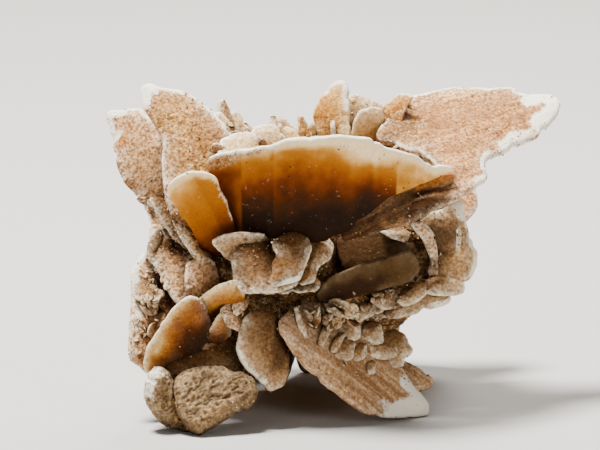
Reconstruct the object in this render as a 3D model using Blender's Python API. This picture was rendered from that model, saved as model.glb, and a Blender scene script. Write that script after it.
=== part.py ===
"""A gypsum sand rose: lens-shaped crystal blades that grew through each other into one cluster.

Each blade is drawn as an outline in millimetres, x to the right and z up, as it is seen from one side.
The outline is then laid on a sloping plane at its depth, which gives the blade its lean, and is joined
with all the others to one lumpy heart. The floor cuts flats under the blades that the cluster rests on.
"""

import math
import random
from collections import namedtuple

import bmesh
import bpy
from mathutils import Matrix, Vector

MM = 0.001
NAME = "sand_rose"

# The front outlines are drawn looking down at the cluster by this angle, in degrees.
FRONT_LOOKS_DOWN = 12.0
# Depth in that front drawing of the lowest point of the front foot, which stands on the floor.
FRONT_FOOT_DEPTH = -20.0
# Distance behind the front drawing's middle of the upright axis that the other sides turn about.
AXIS_DEPTH = 16.0
# How far the feet are worn down to the floor.
FOOT_WEAR = 0.6
# Share of its full thickness that a blade keeps at its rim, and the width of that tapered rim.
RIM_SHARE = 0.5
RIM_WIDTH = 1.6
# The rim takes no more than this share of the way to a small blade's middle.
WIDEST_RIM_SHARE = 0.35
# An outline with this many corners or fewer makes a plain plate without a tapered rim.
SIMPLE_CORNERS = 9
# Widest strip of a bent blade that stays flat.
BEND_STRIP = 8.0
# A strip's edge this near to a corner goes through the corner.
CUT_SNAP = 0.01

# depth: mm away from the viewer at the outline's middle; right and up: growth of that depth per mm;
# bend: growth of that depth with the square of the distance from the middle, for a hollow blade.
Blade = namedtuple("Blade", "name depth right up thick outline bend", defaults=(0.0,))


FRONT_BLADES = [
    Blade("wing_outer", depth=4, right=-0.5, up=0.3, thick=2.6, outline=[
          (-50, 70.5), (-49, 71.5), (-42.5, 71.5), (-39.5, 69), (-37, 63.5), (-36.5, 53.5),
          (-38.5, 50), (-43, 51), (-44, 53), (-46.5, 55.5), (-47.5, 58), (-48.5, 62.5), (-49.5, 67)]),
    Blade("wing_inner", depth=-6, right=0.1, up=0.5, thick=3.0, outline=[
          (-42.5, 75), (-42.5, 76.5), (-40.5, 77), (-38, 76), (-34.5, 75.5), (-31.5, 74.5),
          (-29.5, 73), (-27, 71), (-24, 68), (-20.5, 62.5), (-21.5, 56), (-26, 50.5), (-32.5, 46),
          (-35.5, 48), (-37, 51.5), (-38, 60.5), (-37.5, 64.5), (-40, 69), (-42, 71.5)]),
    Blade("crown_a", depth=-1, right=0.1, up=0.4, thick=1.6, outline=[
          (-28, 71), (-26.5, 70.5), (-25, 71), (-22.5, 68), (-20, 63.5), (-21, 58.5), (-25.5, 58),
          (-27.5, 65.5)]),
    Blade("crown_b", depth=2, right=0.4, up=0.2, thick=1.2, outline=[
          (-25.5, 73.5), (-24, 73.5), (-23, 71), (-22, 67.5), (-22, 58.5), (-24.5, 58.5),
          (-25.5, 70.5)]),
    Blade("crown_c", depth=3, right=-0.2, up=0.3, thick=1.8, outline=[
          (-23, 72.5), (-21.5, 71.5), (-20, 69.5), (-18.5, 66.5), (-18, 58.5), (-22.5, 58.5),
          (-24, 69)]),
    Blade("crown_d", depth=-8, right=0.1, up=1.0, thick=1.6, outline=[
          (-25, 64.5), (-22.5, 66), (-19.5, 66.5), (-17, 65.5), (-15.5, 62.5), (-16, 58.5),
          (-24, 58), (-25.5, 61.5)]),
    Blade("crown_e", depth=-4, right=0.2, up=0.8, thick=2.0, outline=[
          (-18.5, 66), (-17, 67.5), (-15.5, 68), (-13.5, 68), (-12, 67), (-10.5, 65), (-11, 60.5),
          (-17, 60)]),
    Blade("crown_f", depth=-2, right=0.3, up=0.1, thick=1.0, outline=[
          (-12.5, 68.5), (-11, 68), (-10, 65.5), (-10, 60), (-12.5, 60)]),
    Blade("crown_g", depth=-3, right=-0.3, up=0.3, thick=1.4, outline=[
          (-11, 67.5), (-8.5, 67), (-7, 64), (-7, 60), (-10.5, 60)]),
    Blade("crown_h", depth=-1, right=0.5, up=0.1, thick=1.6, outline=[
          (-8, 70), (-7, 70), (-5.5, 67.5), (-4.5, 64), (-4.5, 59), (-8.5, 59)]),
    Blade("crown_i", depth=4, right=0.2, up=0.2, thick=1.0, outline=[
          (-5.5, 70), (-5, 69.5), (-4, 67.5), (-4, 60), (-5.5, 60)]),
    Blade("crown_peak", depth=4, right=-0.5, up=0.25, thick=2.4, outline=[
          (-5.5, 64), (-5, 67.5), (-4.5, 71), (-3.5, 74), (-2, 76), (-0.5, 77), (1.5, 78),
          (2.5, 77.5), (3.5, 75.5), (3.5, 71), (3.5, 63.5), (-1, 62)]),
    Blade("crown_back", depth=8, right=0.2, up=0.3, thick=2.0, outline=[
          (2.5, 74), (4.5, 75), (7, 74), (9, 73.5), (11, 72), (11.5, 62.5), (10, 58.5), (2.5, 58.5)]),
    Blade("crown_amber", depth=3, right=0.3, up=-0.2, thick=1.6, outline=[
          (3.5, 63.5), (4, 68), (5.5, 71), (8, 72), (10.5, 71.5), (12, 68), (11.5, 62.5)]),
    Blade("leaf_left", depth=2, right=-0.6, up=0.3, thick=1.4, outline=[
          (10.5, 71.5), (13, 74), (14.5, 75), (18, 75.5), (17.5, 74), (16, 72), (15, 68.5),
          (13, 63.5), (10, 62.5)]),
    Blade("leaf_right", depth=3, right=1.0, up=0.5, thick=1.6, outline=[
          (15.5, 72.5), (17.5, 74), (19, 72.5), (18.5, 67), (15.5, 61), (12, 61), (13.5, 66)]),
    Blade("plate_right", depth=0, right=0.15, up=1.2, thick=3.2, outline=[
          (15.5, 73.5), (21, 75), (25.5, 76), (32, 76), (39.5, 76), (40.5, 75.5), (40, 75),
          (45.5, 74.5), (48.5, 74.5), (50, 73.5), (49.5, 70.5), (47.5, 68), (45, 65.5), (41.5, 64),
          (37.5, 62), (34, 60.5), (33, 58.5), (34, 57), (33, 55.5), (30, 53.5), (26.5, 51.5),
          (21, 49), (15, 46), (16.5, 50), (20, 53.5), (23.5, 57), (20, 60.5), (12.5, 63.5),
          (8.5, 64.5)]),
    Blade("bowl", depth=-24, right=0.0, up=-0.65, thick=2.2, bend=0.0135, outline=[
          (-27.5, 60.5), (-23.5, 62), (-19.5, 62.5), (-14, 63.5), (-11, 64.5), (-6.5, 65),
          (1.5, 65.5), (9, 64.5), (11, 63), (14.5, 62), (18, 61), (20, 59.5), (23.5, 59),
          (26, 58.5), (23.5, 57), (20, 55.5), (15.5, 53.5), (12, 52), (8, 49), (3.5, 45),
          (-2, 42.5), (-11, 42), (-18.5, 42.5), (-24.5, 44), (-26.5, 50.5)]),
    Blade("root_right", depth=-13.4, right=0.47, up=-0.9, thick=3.4, outline=[
          (1.5, 43), (4, 49), (10, 53), (16.5, 56.5), (22.5, 57), (26, 54.5), (26, 52), (23.5, 50),
          (19, 47.5), (14.5, 46), (8.5, 44.5)]),
    Blade("lobe_left", depth=-17, right=0.1, up=-0.9, thick=2.2, outline=[
          (-36.5, 53.5), (-36, 55), (-34, 56.5), (-31.5, 57.5), (-28, 57.5), (-26, 56.5), (-24, 53),
          (-22, 47), (-21.5, 42), (-24, 39), (-27.5, 39), (-30, 42.5), (-32, 46), (-34.5, 49.5)]),
    Blade("lip_a", depth=-15, right=0.1, up=-0.8, thick=1.4, outline=[
          (-27, 42.5), (-24, 44), (-20.5, 44.5), (-15.5, 44), (-13.5, 42), (-16, 39), (-20.5, 37),
          (-24, 39)]),
    Blade("scoop_a", depth=-18, right=0.1, up=0.45, thick=2.2, outline=[
          (-20, 42), (-22, 40), (-22.5, 38), (-22, 34), (-20.5, 31.5), (-18, 31), (-13.5, 31),
          (-9, 32), (-6.5, 35), (-7.5, 40), (-12, 42.5), (-16.5, 43)]),
    Blade("scoop_b", depth=-20, right=0.3, up=0.35, thick=2.0, outline=[
          (-13.5, 42.5), (-13, 39.5), (-14, 36), (-14, 33), (-13, 32.5), (-10.5, 33), (-7.5, 34),
          (-6, 38), (-5, 41), (-6, 43.5), (-9.5, 44.5)]),
    Blade("scoop_c", depth=-16, right=0.5, up=0.3, thick=1.8, outline=[
          (-6, 43), (-2.5, 44), (0, 41.5), (-1, 38.5), (-3.5, 36.5), (-4.5, 33.5), (-7.5, 33),
          (-7.5, 38)]),
    Blade("scoop_d", depth=-14, right=0.2, up=1.2, thick=1.4, outline=[
          (-16, 32.5), (-14, 35.5), (-7.5, 36), (-3.5, 34.5), (-3, 32.5), (-4, 31.5), (-9.5, 31),
          (-15, 31)]),
    Blade("shelf_dark", depth=-12, right=0.25, up=-0.7, thick=2.4, outline=[
          (-4, 32), (-1, 34.5), (2.5, 36), (8, 38), (13.5, 39.5), (16, 40.5), (17.5, 39.5),
          (18.5, 37.5), (18.5, 35.5), (17.5, 34), (14, 33), (8.5, 31.5), (3.5, 30), (-1, 29),
          (-4, 29.5)]),
    Blade("hollow_back", depth=-8, right=0.3, up=0.2, thick=2.4, outline=[
          (0.5, 42.5), (4, 45), (10, 45.5), (15.5, 43.5), (17.5, 40.5), (16.5, 35.5), (7.5, 34),
          (2, 36.5)]),
    Blade("spike_mid", depth=-9, right=0.4, up=1.0, thick=1.4, outline=[
          (9.5, 45), (13.5, 46), (16.5, 44.5), (20, 41.5), (16.5, 42), (13, 43)]),
    Blade("curl_right", depth=-9, right=0.2, up=-0.08, thick=6.0, outline=[
          (16.5, 46.5), (19, 47), (22, 44), (23, 38.5), (22.5, 35), (20.5, 35), (21, 38.5),
          (19.5, 42.5), (17.5, 45)]),
    Blade("stack_a", depth=-5, right=0.5, up=0.3, thick=2.6, outline=[
          (19.5, 48), (23.5, 49.5), (27.5, 51.5), (28.5, 50.5), (29, 48), (28.5, 45.5),
          (29.5, 44.5), (28.5, 42), (24.5, 39.5), (21, 41.5), (19, 45)]),
    Blade("stack_b", depth=-5, right=0.3, up=0.2, thick=2.8, outline=[
          (22, 40.5), (26, 42.5), (29, 43.5), (31, 42), (31.5, 39.5), (31, 36), (30, 34),
          (27.5, 33), (24, 33.5), (21.5, 35), (21, 38)]),
    Blade("stack_c", depth=-7, right=0.3, up=0.5, thick=2.2, outline=[
          (20, 34), (24.5, 35), (28.5, 33.5), (28.5, 31.5), (26.5, 30.5), (23, 30.5), (20, 31)]),
    Blade("stack_d", depth=-6.5, right=0.2, up=0.2, thick=2.6, outline=[
          (14, 29.5), (15, 32), (21.5, 33), (25.5, 30.5), (26, 29), (21, 27.5), (16.5, 26),
          (11, 24.5), (8.5, 24.5), (11, 27)]),
    Blade("stack_e", depth=-9, right=0.4, up=0.4, thick=1.8, outline=[
          (13.5, 29.5), (15.5, 31), (18, 33), (21, 33.5), (21.5, 32.5), (20, 30.5), (18, 29),
          (15, 28)]),
    Blade("stack_f", depth=-6.5, right=0.5, up=0.3, thick=1.6, outline=[
          (8, 29), (9, 31), (11.5, 32), (14, 31.5), (14.5, 29.5), (13.5, 27.5), (11, 27.5)]),
    Blade("stack_g", depth=-6, right=0.2, up=0.6, thick=1.8, outline=[
          (2.5, 28.5), (6, 30.5), (9.5, 29.5), (9, 26.5), (6, 25), (2.5, 26)]),
    Blade("stack_h", depth=-9, right=1.0, up=0.1, thick=1.2, outline=[
          (0, 29.5), (2.5, 29.5), (2, 24.5), (0, 24.5)]),
    Blade("side_a", depth=-1, right=-0.5, up=0.4, thick=2.0, outline=[
          (-43, 51.5), (-40, 52.5), (-36.5, 51), (-34.5, 47.5), (-35.5, 43), (-40, 43),
          (-40.5, 46.5), (-41.5, 49)]),
    Blade("side_b", depth=-7, right=0.8, up=0.3, thick=1.4, outline=[
          (-40.5, 52), (-37, 51.5), (-34, 46.5), (-30.5, 40.5), (-32.5, 40.5), (-36.5, 44.5)]),
    Blade("side_c", depth=-5, right=-0.2, up=0.5, thick=1.4, outline=[
          (-40.5, 46), (-38.5, 46), (-31.5, 41.5), (-30.5, 38.5), (-34, 38.5), (-40.5, 42.5)]),
    Blade("side_d", depth=-11, right=0.6, up=0.2, thick=1.6, outline=[
          (-35, 49.5), (-32, 46), (-29.5, 42), (-26, 38.5), (-26.5, 35), (-28.5, 36), (-32.5, 41.5),
          (-35.5, 46.5)]),
    Blade("side_e", depth=-9, right=0.2, up=0.35, thick=2.2, outline=[
          (-41, 42), (-39.5, 43), (-35, 41.5), (-31, 38), (-31, 32), (-34, 28.5), (-36, 30.5),
          (-38.5, 35.5), (-41, 39)]),
    Blade("side_f", depth=-12, right=0.3, up=0.3, thick=2.2, outline=[
          (-32.5, 37.5), (-30.5, 38.5), (-28, 39), (-26, 37.5), (-25, 33.5), (-26.5, 29),
          (-30.5, 29), (-32.5, 31.5)]),
    Blade("flank", depth=-8, right=0.4, up=0.25, thick=3.4, outline=[
          (-41.5, 40), (-43.5, 37.5), (-44.5, 35.5), (-44.5, 32), (-44.5, 28.5), (-45, 24),
          (-45, 19.5), (-44.5, 16.5), (-42.5, 15), (-40.5, 13), (-37.5, 16.5), (-35, 23), (-34, 28),
          (-36.5, 32), (-38.5, 36)]),
    Blade("scoop_left", depth=-18, right=0.35, up=-0.6, thick=2.2, bend=0.01, outline=[
          (-42, 15.5), (-41, 19), (-38.5, 23), (-36, 27), (-33.5, 29.5), (-31.5, 30.5), (-29.5, 30),
          (-27.5, 27), (-27, 22.5), (-29, 19), (-32.5, 16), (-37.5, 14), (-41, 13.5)]),
    Blade("lip_b", depth=-18, right=0.2, up=-0.9, thick=1.6, outline=[
          (-31, 27.5), (-28.5, 31), (-25, 33), (-21.5, 34), (-19.5, 32), (-20, 29), (-23.5, 27),
          (-28, 26)]),
    Blade("lip_c", depth=-16, right=0.4, up=-0.6, thick=1.2, outline=[
          (-28, 20), (-27.5, 23), (-26, 25.5), (-24, 27.5), (-22, 26.5), (-22.5, 22), (-25.5, 19.5)]),
    Blade("chip_a", depth=-17, right=0.5, up=0.3, thick=1.4, outline=[
          (-25, 27.5), (-23, 29), (-20.5, 27.5), (-20, 24.5), (-20.5, 22.5), (-23.5, 24)]),
    Blade("chip_b", depth=-16, right=0.2, up=0.4, thick=1.2, outline=[
          (-22.5, 28.5), (-20.5, 30.5), (-18.5, 31), (-19, 28), (-20.5, 25.5), (-22.5, 27)]),
    Blade("heel", depth=-15, right=0.2, up=0.4, thick=3.0, outline=[
          (-31.5, 18), (-28.5, 20), (-24.5, 21), (-20.5, 20), (-19, 16), (-20.5, 12), (-28.5, 12.5),
          (-32, 14)]),
    Blade("pendant", depth=-17, right=0.25, up=0.15, thick=3.0, outline=[
          (-18.5, 27), (-20, 25.5), (-21, 22.5), (-21.5, 19.5), (-20.5, 16.5), (-19, 14),
          (-16.5, 12), (-14.5, 10), (-13, 9.5), (-11, 11), (-10, 14), (-10, 18.5), (-10.5, 22.5),
          (-12.5, 26), (-15.5, 27.5)]),
    Blade("pendant_fin", depth=-13, right=0.7, up=0.2, thick=2.0, outline=[
          (-14, 23), (-11, 23.5), (-9, 19.5), (-9.5, 14), (-11, 11), (-13.5, 11)]),
    Blade("knob_right", depth=-20, right=0.1, up=0.35, thick=6.0, outline=[
          (-35.5, 10), (-34.5, 12.5), (-32.5, 14), (-28.5, 15), (-24.5, 15), (-21, 14), (-18, 12.5),
          (-16.5, 10.5), (-17, 8), (-18.5, 6), (-21.5, 5), (-24, 3.5), (-27, 1.5), (-29.5, 0),
          (-32, 2), (-34.5, 5.5)]),
    Blade("knob_left", depth=-19, right=0.3, up=-0.1, thick=6.0, outline=[
          (-41, 12.5), (-40, 14.5), (-38.5, 15), (-37, 13), (-36.5, 9.5), (-34, 6.5), (-31, 3.5),
          (-29.5, 1), (-31.5, 0), (-34.5, 1), (-37, 2), (-39, 4), (-40.5, 6), (-41.5, 9)]),
    Blade("floor_plate", depth=-9.3, right=0.75, up=0.55, thick=3.0, outline=[
          (-11.5, 22), (-10, 19.5), (-6.5, 15), (-2, 11), (2.5, 7.5), (7, 4.5), (12, 3.5),
          (17, 3.5), (20.5, 4), (21, 5.5), (20, 7.5), (17.5, 10), (15.5, 13), (13, 18), (8.5, 23.5),
          (3.5, 28), (-3, 29.5), (-9, 28), (-12, 25)]),
    Blade("floor_branch", depth=0.5, right=0.75, up=0.55, thick=2.4, outline=[
          (11, 18.5), (15.5, 16), (20, 13.5), (22, 11.5), (21, 10), (18.5, 9.5), (15.5, 11),
          (11, 14)]),
    Blade("tooth_a", depth=-3.0, right=0.5, up=0.3, thick=2.6, outline=[
          (9.5, 22), (13, 23), (15.5, 22), (16.5, 20), (17.5, 18.5), (16.5, 17), (15, 15),
          (13, 14.5), (11, 17), (9, 19.5)]),
    Blade("tooth_b", depth=-5.4, right=0.5, up=0.7, thick=2.0, outline=[
          (7.5, 19.5), (8.5, 21), (10.5, 21.5), (13, 20.5), (14, 17.5), (11.5, 16.5), (8, 17)]),
    Blade("tooth_c", depth=-11.5, right=0.6, up=0.3, thick=1.6, outline=[
          (0, 17.5), (1, 20.5), (3, 22), (4.5, 20), (4, 16.5), (2, 16)]),
    Blade("tooth_d", depth=-13.3, right=0.4, up=0.5, thick=1.6, outline=[
          (-1, 18), (0.5, 18), (2.5, 22), (1.5, 22.5), (-0.5, 20.5)]),
    Blade("tooth_e", depth=-9.4, right=1.0, up=0.2, thick=1.2, outline=[
          (4, 16.5), (5, 20.5), (7, 20), (7, 17), (5.5, 16)]),
    Blade("tooth_f", depth=-9.4, right=1.0, up=0.2, thick=1.0, outline=[
          (7, 13.5), (7.5, 16.5), (9, 16), (9, 13)]),
    Blade("tooth_g", depth=-5.0, right=0.6, up=0.3, thick=2.0, outline=[
          (6, 24), (8, 25), (10, 24.5), (11, 22.5), (10.5, 19.5), (8, 19.5), (6, 21)]),
    Blade("tooth_h", depth=-14.1, right=0.9, up=0.4, thick=1.6, outline=[
          (-3.5, 19.5), (-2.5, 19.5), (-0.5, 24), (-1.5, 25), (-3, 22.5)]),
    Blade("tooth_i", depth=-8.6, right=0.6, up=0.5, thick=1.6, outline=[
          (1, 24.5), (3.5, 26), (5.5, 24), (5.5, 21), (2.5, 20.5), (1, 22)]),
    Blade("tooth_j", depth=-15.4, right=0.9, up=0.3, thick=1.6, outline=[
          (-9, 28), (-8, 28.5), (-6.5, 25), (-5.5, 21), (-6.5, 21), (-8, 24)]),
]

# The sides that the front drawing doesn't show are ovals. Each is drawn upright about the axis, as it
# is seen after the cluster is turned by so many degrees; spin turns the oval in that drawing.
Oval = namedtuple("Oval", "name turn x z width height spin depth right up thick")

SIDE_OVALS = [
    Oval("left_fan", 270, -9, 50, 30, 25, 20, -30, -0.3, -0.5, 2.8),
    Oval("left_shield", 270, -2, 32, 31, 26, 60, -36, -0.2, 0.1, 3.0),
    Oval("left_low", 270, -13, 18, 28, 22, 150, -32, -0.5, 0.3, 2.6),
    Oval("left_high", 270, -24, 49, 22, 25, 100, -22, 0.6, -0.2, 2.4),
    Oval("back_fan", 180, -14, 43, 37, 24, 15, -27, 0.2, -0.7, 2.8),
    Oval("back_wing", 180, 16, 44, 34, 26, 160, -20, -0.3, -0.4, 2.6),
    Oval("back_shield", 180, -12, 27, 34, 25, 30, -31, -0.3, 0.15, 3.2),
    Oval("back_leaf", 180, 17, 27, 30, 26, 100, -28, 0.4, -0.2, 2.8),
    Oval("back_cross", 180, 2, 36, 16, 30, 10, -24, 1.9, 0.2, 2.4),
    Oval("rear_foot", 180, -3, 10, 26, 25, 80, -25, 0.2, 0.1, 3.8),
    Oval("rear_heel", 180, 19, 11, 25, 27, 20, -20, -0.7, 0.1, 3.4),
    Oval("right_fan", 90, 8, 49, 27, 19, 10, -18, -0.2, -0.7, 2.8),
    Oval("right_shield", 90, 8, 36, 26, 19, 40, -22, 0.3, 0.1, 3.0),
    Oval("right_cross", 90, 12, 36, 14, 24, 30, -20, -1.2, 0.3, 2.4),
    Oval("right_mid", 90, -3, 34, 23, 19, 120, -24.5, 0.25, -0.15, 2.6),
    Oval("right_low", 90, 13, 22, 24, 19, 20, -16, -0.25, -0.55, 2.8),
]
OVAL_CORNERS = 10

# Lumps of the heart: centre and half sizes in mm, about the axis.
HEART = [
    ((-12, -3, 36), (18, 18, 15)),
    ((11, -1, 36), (16, 13, 13)),
    ((-25, -8, 24), (14, 13, 15)),
    ((-1, -4, 28), (15, 14, 9)),
    ((0, 12, 24), (20, 16, 15)),
    ((-10, 3, 48), (24, 17, 10)),
]

# Tufts of tiny blades in the front drawing: middle, depth, spread and number.
Tuft = namedtuple("Tuft", "name x z depth wide high count size")
TUFTS = [
    Tuft("tuft_floor", -4, 26, -13, 14, 6, 7, 5.5),
    Tuft("tuft_flank", -39.5, 25, -9.5, 5, 15, 7, 5),
    Tuft("tuft_side", -36, 46, -6, 6, 12, 5, 7),
    Tuft("tuft_stack", 8, 28, -5, 12, 5, 5, 5.5),
    Tuft("tuft_crown", -14, 62, -5, 20, 4, 6, 7),
    Tuft("tuft_leaf", 14, 65, 2, 8, 5, 4, 6),
]
TUFT_CORNERS = 6
TUFT_THICK = 1.2
# A tiny blade's size, as a share of its tuft's, and its height as a share of its width.
TUFT_SIZES = (0.8, 1.3)
TUFT_SLIMNESS = (0.6, 0.9)
TUFT_SLOPE_RIGHT = (-1.2, 1.2)
TUFT_SLOPE_UP = (-0.3, 1.0)

# Blades that sprout from the heart all round except towards the front, evenly spread.
SPROUT_CENTRE = (-4, 3, 39)
SPROUT_HALF = (21.5, 18, 18.5)
SPROUT_SPOTS = 44
SPROUT_CORNERS = 8
SPROUT_WIDTHS = (12, 18)
SPROUT_HEIGHTS = (9, 15)
SPROUT_THICKNESSES = (1.6, 2.4)
# How far a sprout may swing away from straight out, and how far it may roll, in degrees.
SPROUT_SWING = 0.4
SPROUT_ROLL = 90
SPROUT_SEED = 7
# Sprouts that point more to the front than this are left out, because the drawn blades stand there.
SPROUT_FRONT_LIMIT = -0.3
GOLDEN_TURN = math.pi * (3 - math.sqrt(5))

# Side of the block that cuts the floor, and the bend below which neighbouring faces count as one.
FLOOR_BLOCK = 300.0
ONE_FACE_BEND = 3.0



def clear_scene():
    for obj in list(bpy.data.objects):
        bpy.data.objects.remove(obj, do_unlink=True)


def new_collection(name):
    collection = bpy.data.collections.new(name)
    bpy.context.scene.collection.children.link(collection)
    return collection


def new_object(name, mesh_work, collection):
    mesh = bpy.data.meshes.new(name)
    mesh_work.to_mesh(mesh)
    mesh_work.free()
    obj = bpy.data.objects.new(name, mesh)
    collection.objects.link(obj)
    return obj


def front_to_world():
    """Turns the front drawing (x right, y away, z up) down onto the floor."""
    tilt = Matrix.Rotation(-math.radians(FRONT_LOOKS_DOWN), 4, "X")
    foot = tilt @ Vector((0, FRONT_FOOT_DEPTH, 0))
    return Matrix.Translation((0, -AXIS_DEPTH, -foot.z)) @ tilt


def flat_plate(outline, thick):
    """The blade lying in its drawing: a rim of its own thickness round a fuller middle."""
    work = bmesh.new()
    rim = thick * RIM_SHARE / 2
    middle = Vector((sum(x for x, z in outline), 0, sum(z for x, z in outline))) / len(outline)
    size = min((Vector((x, 0, z)) - middle).length for x, z in outline)
    inner_share = 1 - min(RIM_WIDTH / size, WIDEST_RIM_SHARE)
    front = work.faces.new([work.verts.new((x, -rim, z)) for x, z in outline])
    back, back_verts = extruded(work, front)
    bmesh.ops.translate(work, vec=(0, 2 * rim, 0), verts=back_verts)
    if len(outline) > SIMPLE_CORNERS:
        for side, bulge in ((front, rim - thick / 2), (back, thick / 2 - rim)):
            top, top_verts = extruded(work, side)
            around = Matrix.Translation(-middle)
            bmesh.ops.scale(work, vec=(inner_share, 1, inner_share), space=around, verts=top_verts)
            bmesh.ops.translate(work, vec=(0, bulge, 0), verts=top_verts)
            work.faces.remove(side)
    return work


def extruded(work, face):
    """The face and the corners at the far end of an extrusion."""
    grown = bmesh.ops.extrude_face_region(work, geom=[face])["geom"]
    faces = [part for part in grown if isinstance(part, bmesh.types.BMFace)]
    verts = [part for part in grown if isinstance(part, bmesh.types.BMVert)]
    return faces[0], verts


def cut_in_strips(work, width):
    """Cuts the plate across every so many mm, so that it can bend."""
    xs = [vert.co.x for vert in work.verts]
    for number in range(1, int((max(xs) - min(xs)) / width) + 1):
        bmesh.ops.bisect_plane(
            work,
            geom=work.verts[:] + work.edges[:] + work.faces[:],
            plane_co=(min(xs) + number * width, 0, 0),
            plane_no=(1, 0, 0),
            dist=CUT_SNAP,
        )


def make_blade(blade, to_world, collection):
    work = flat_plate(blade.outline, blade.thick)
    if blade.bend:
        cut_in_strips(work, BEND_STRIP)
    middle_x = sum(x for x, z in blade.outline) / len(blade.outline)
    middle_z = sum(z for x, z in blade.outline) / len(blade.outline)
    for vert in work.verts:
        across = vert.co.x - middle_x
        above = vert.co.z - middle_z
        slope_right = blade.right + 2 * blade.bend * across
        outward = Vector((-slope_right, 1, -blade.up)).normalized()
        depth = blade.depth + blade.right * across + blade.up * above + blade.bend * across**2
        vert.co = Vector((vert.co.x, depth, vert.co.z)) + outward * vert.co.y
    bmesh.ops.transform(work, matrix=Matrix.Scale(MM, 4) @ to_world, verts=work.verts)
    bmesh.ops.triangulate(work, faces=work.faces)
    bmesh.ops.recalc_face_normals(work, faces=work.faces)
    obj = new_object(blade.name, work, collection)
    obj.hide_render = True
    obj.display_type = "WIRE"
    return obj


def wavy_oval(name, width, height, spin_degrees, corners):
    """An oval outline that wavers a little, the same way each time for one name."""
    rng = random.Random(name)
    spin = math.radians(spin_degrees)
    outline = []
    for number in range(corners):
        angle = 2 * math.pi * (number + rng.uniform(-0.2, 0.2)) / corners
        reach = rng.uniform(0.88, 1.08)
        x = width / 2 * reach * math.cos(angle)
        z = height / 2 * reach * math.sin(angle)
        outline.append((x * math.cos(spin) - z * math.sin(spin), x * math.sin(spin) + z * math.cos(spin)))
    return outline


def make_side_oval(oval, collection):
    outline = wavy_oval(oval.name, oval.width, oval.height, oval.spin, OVAL_CORNERS)
    outline = [(x + oval.x, z + oval.z) for x, z in outline]
    blade = Blade(oval.name, oval.depth, oval.right, oval.up, oval.thick, outline)
    make_blade(blade, Matrix.Rotation(math.radians(oval.turn), 4, "Z"), collection)


def make_tuft(tuft, collection):
    rng = random.Random(tuft.name)
    for number in range(tuft.count):
        name = f"{tuft.name}_{number}"
        size = tuft.size * rng.uniform(*TUFT_SIZES)
        height = size * rng.uniform(*TUFT_SLIMNESS)
        outline = wavy_oval(name, size, height, rng.uniform(0, 180), TUFT_CORNERS)
        x = tuft.x + tuft.wide * rng.uniform(-0.5, 0.5)
        z = tuft.z + tuft.high * rng.uniform(-0.5, 0.5)
        outline = [(px + x, pz + z) for px, pz in outline]
        right = rng.uniform(*TUFT_SLOPE_RIGHT)
        up = rng.uniform(*TUFT_SLOPE_UP)
        blade = Blade(name, tuft.depth, right, up, TUFT_THICK, outline)
        make_blade(blade, front_to_world(), collection)


def make_sprouts(collection):
    """Half-sunk blades over the hidden sides, each in a plane that points out of the heart."""
    rng = random.Random(SPROUT_SEED)
    for number in range(SPROUT_SPOTS):
        rise = 1 - 2 * (number + 0.5) / SPROUT_SPOTS
        ring = math.sqrt(1 - rise**2)
        turn = number * GOLDEN_TURN
        out = Vector((ring * math.cos(turn), ring * math.sin(turn), rise))
        if out.y < SPROUT_FRONT_LIMIT:
            continue
        name = f"sprout_{number}"
        width = rng.uniform(*SPROUT_WIDTHS)
        height = rng.uniform(*SPROUT_HEIGHTS)
        outline = wavy_oval(name, width, height, 0, SPROUT_CORNERS)
        blade = Blade(name, 0, 0, 0, rng.uniform(*SPROUT_THICKNESSES), outline)
        spot = Vector(SPROUT_CENTRE) + Vector(SPROUT_HALF) * out
        swing = Vector([rng.uniform(-SPROUT_SWING, SPROUT_SWING) for axis in range(3)])
        facing = (out + swing).normalized()
        roll = Matrix.Rotation(math.radians(rng.uniform(-SPROUT_ROLL, SPROUT_ROLL)), 4, "X")
        place = Matrix.Translation(spot) @ facing.to_track_quat("X", "Z").to_matrix().to_4x4() @ roll
        make_blade(blade, place, collection)


def make_heart(collection):
    lumps = []
    for number, (centre, half) in enumerate(HEART):
        work = bmesh.new()
        place = Matrix.Translation(Vector(centre) * MM) @ Matrix.Diagonal((*(Vector(half) * MM), 1))
        bmesh.ops.create_icosphere(work, subdivisions=2, radius=1, matrix=place)
        lump = new_object(f"heart_{number}", work, collection)
        lump.hide_render = True
        lump.display_type = "WIRE"
        lumps.append(lump)
    return lumps


def make_floor_cutter(collection):
    """A block whose top is the floor."""
    work = bmesh.new()
    below = Matrix.Translation((0, 0, (FOOT_WEAR - FLOOR_BLOCK / 2) * MM))
    bmesh.ops.create_cube(work, size=FLOOR_BLOCK * MM, matrix=below)
    cutter = new_object("floor_cutter", work, collection)
    cutter.hide_render = True
    cutter.display_type = "WIRE"
    return cutter


def joined(first, others, cutter):
    """All the blades and lumps as one solid, cut flat by the floor."""
    union = first.modifiers.new("join", "BOOLEAN")
    union.operation = "UNION"
    union.operand_type = "COLLECTION"
    union.collection = others
    cut = first.modifiers.new("floor", "BOOLEAN")
    cut.operation = "DIFFERENCE"
    cut.object = cutter
    bpy.context.view_layer.update()
    evaluated = first.evaluated_get(bpy.context.evaluated_depsgraph_get())
    return bpy.data.meshes.new_from_object(evaluated)


def outer_skin(mesh_work):
    """Fills the hollows that the blades close in: only the largest connected skin stays."""
    left = set(mesh_work.faces)
    skins = []
    while left:
        queue = [left.pop()]
        skin = set(queue)
        while queue:
            for edge in queue.pop().edges:
                for near in edge.link_faces:
                    if near in left:
                        left.discard(near)
                        skin.add(near)
                        queue.append(near)
        skins.append(skin)
    skins.sort(key=len)
    for skin in skins[:-1]:
        bmesh.ops.delete(mesh_work, geom=list(skin), context="FACES")


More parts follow.
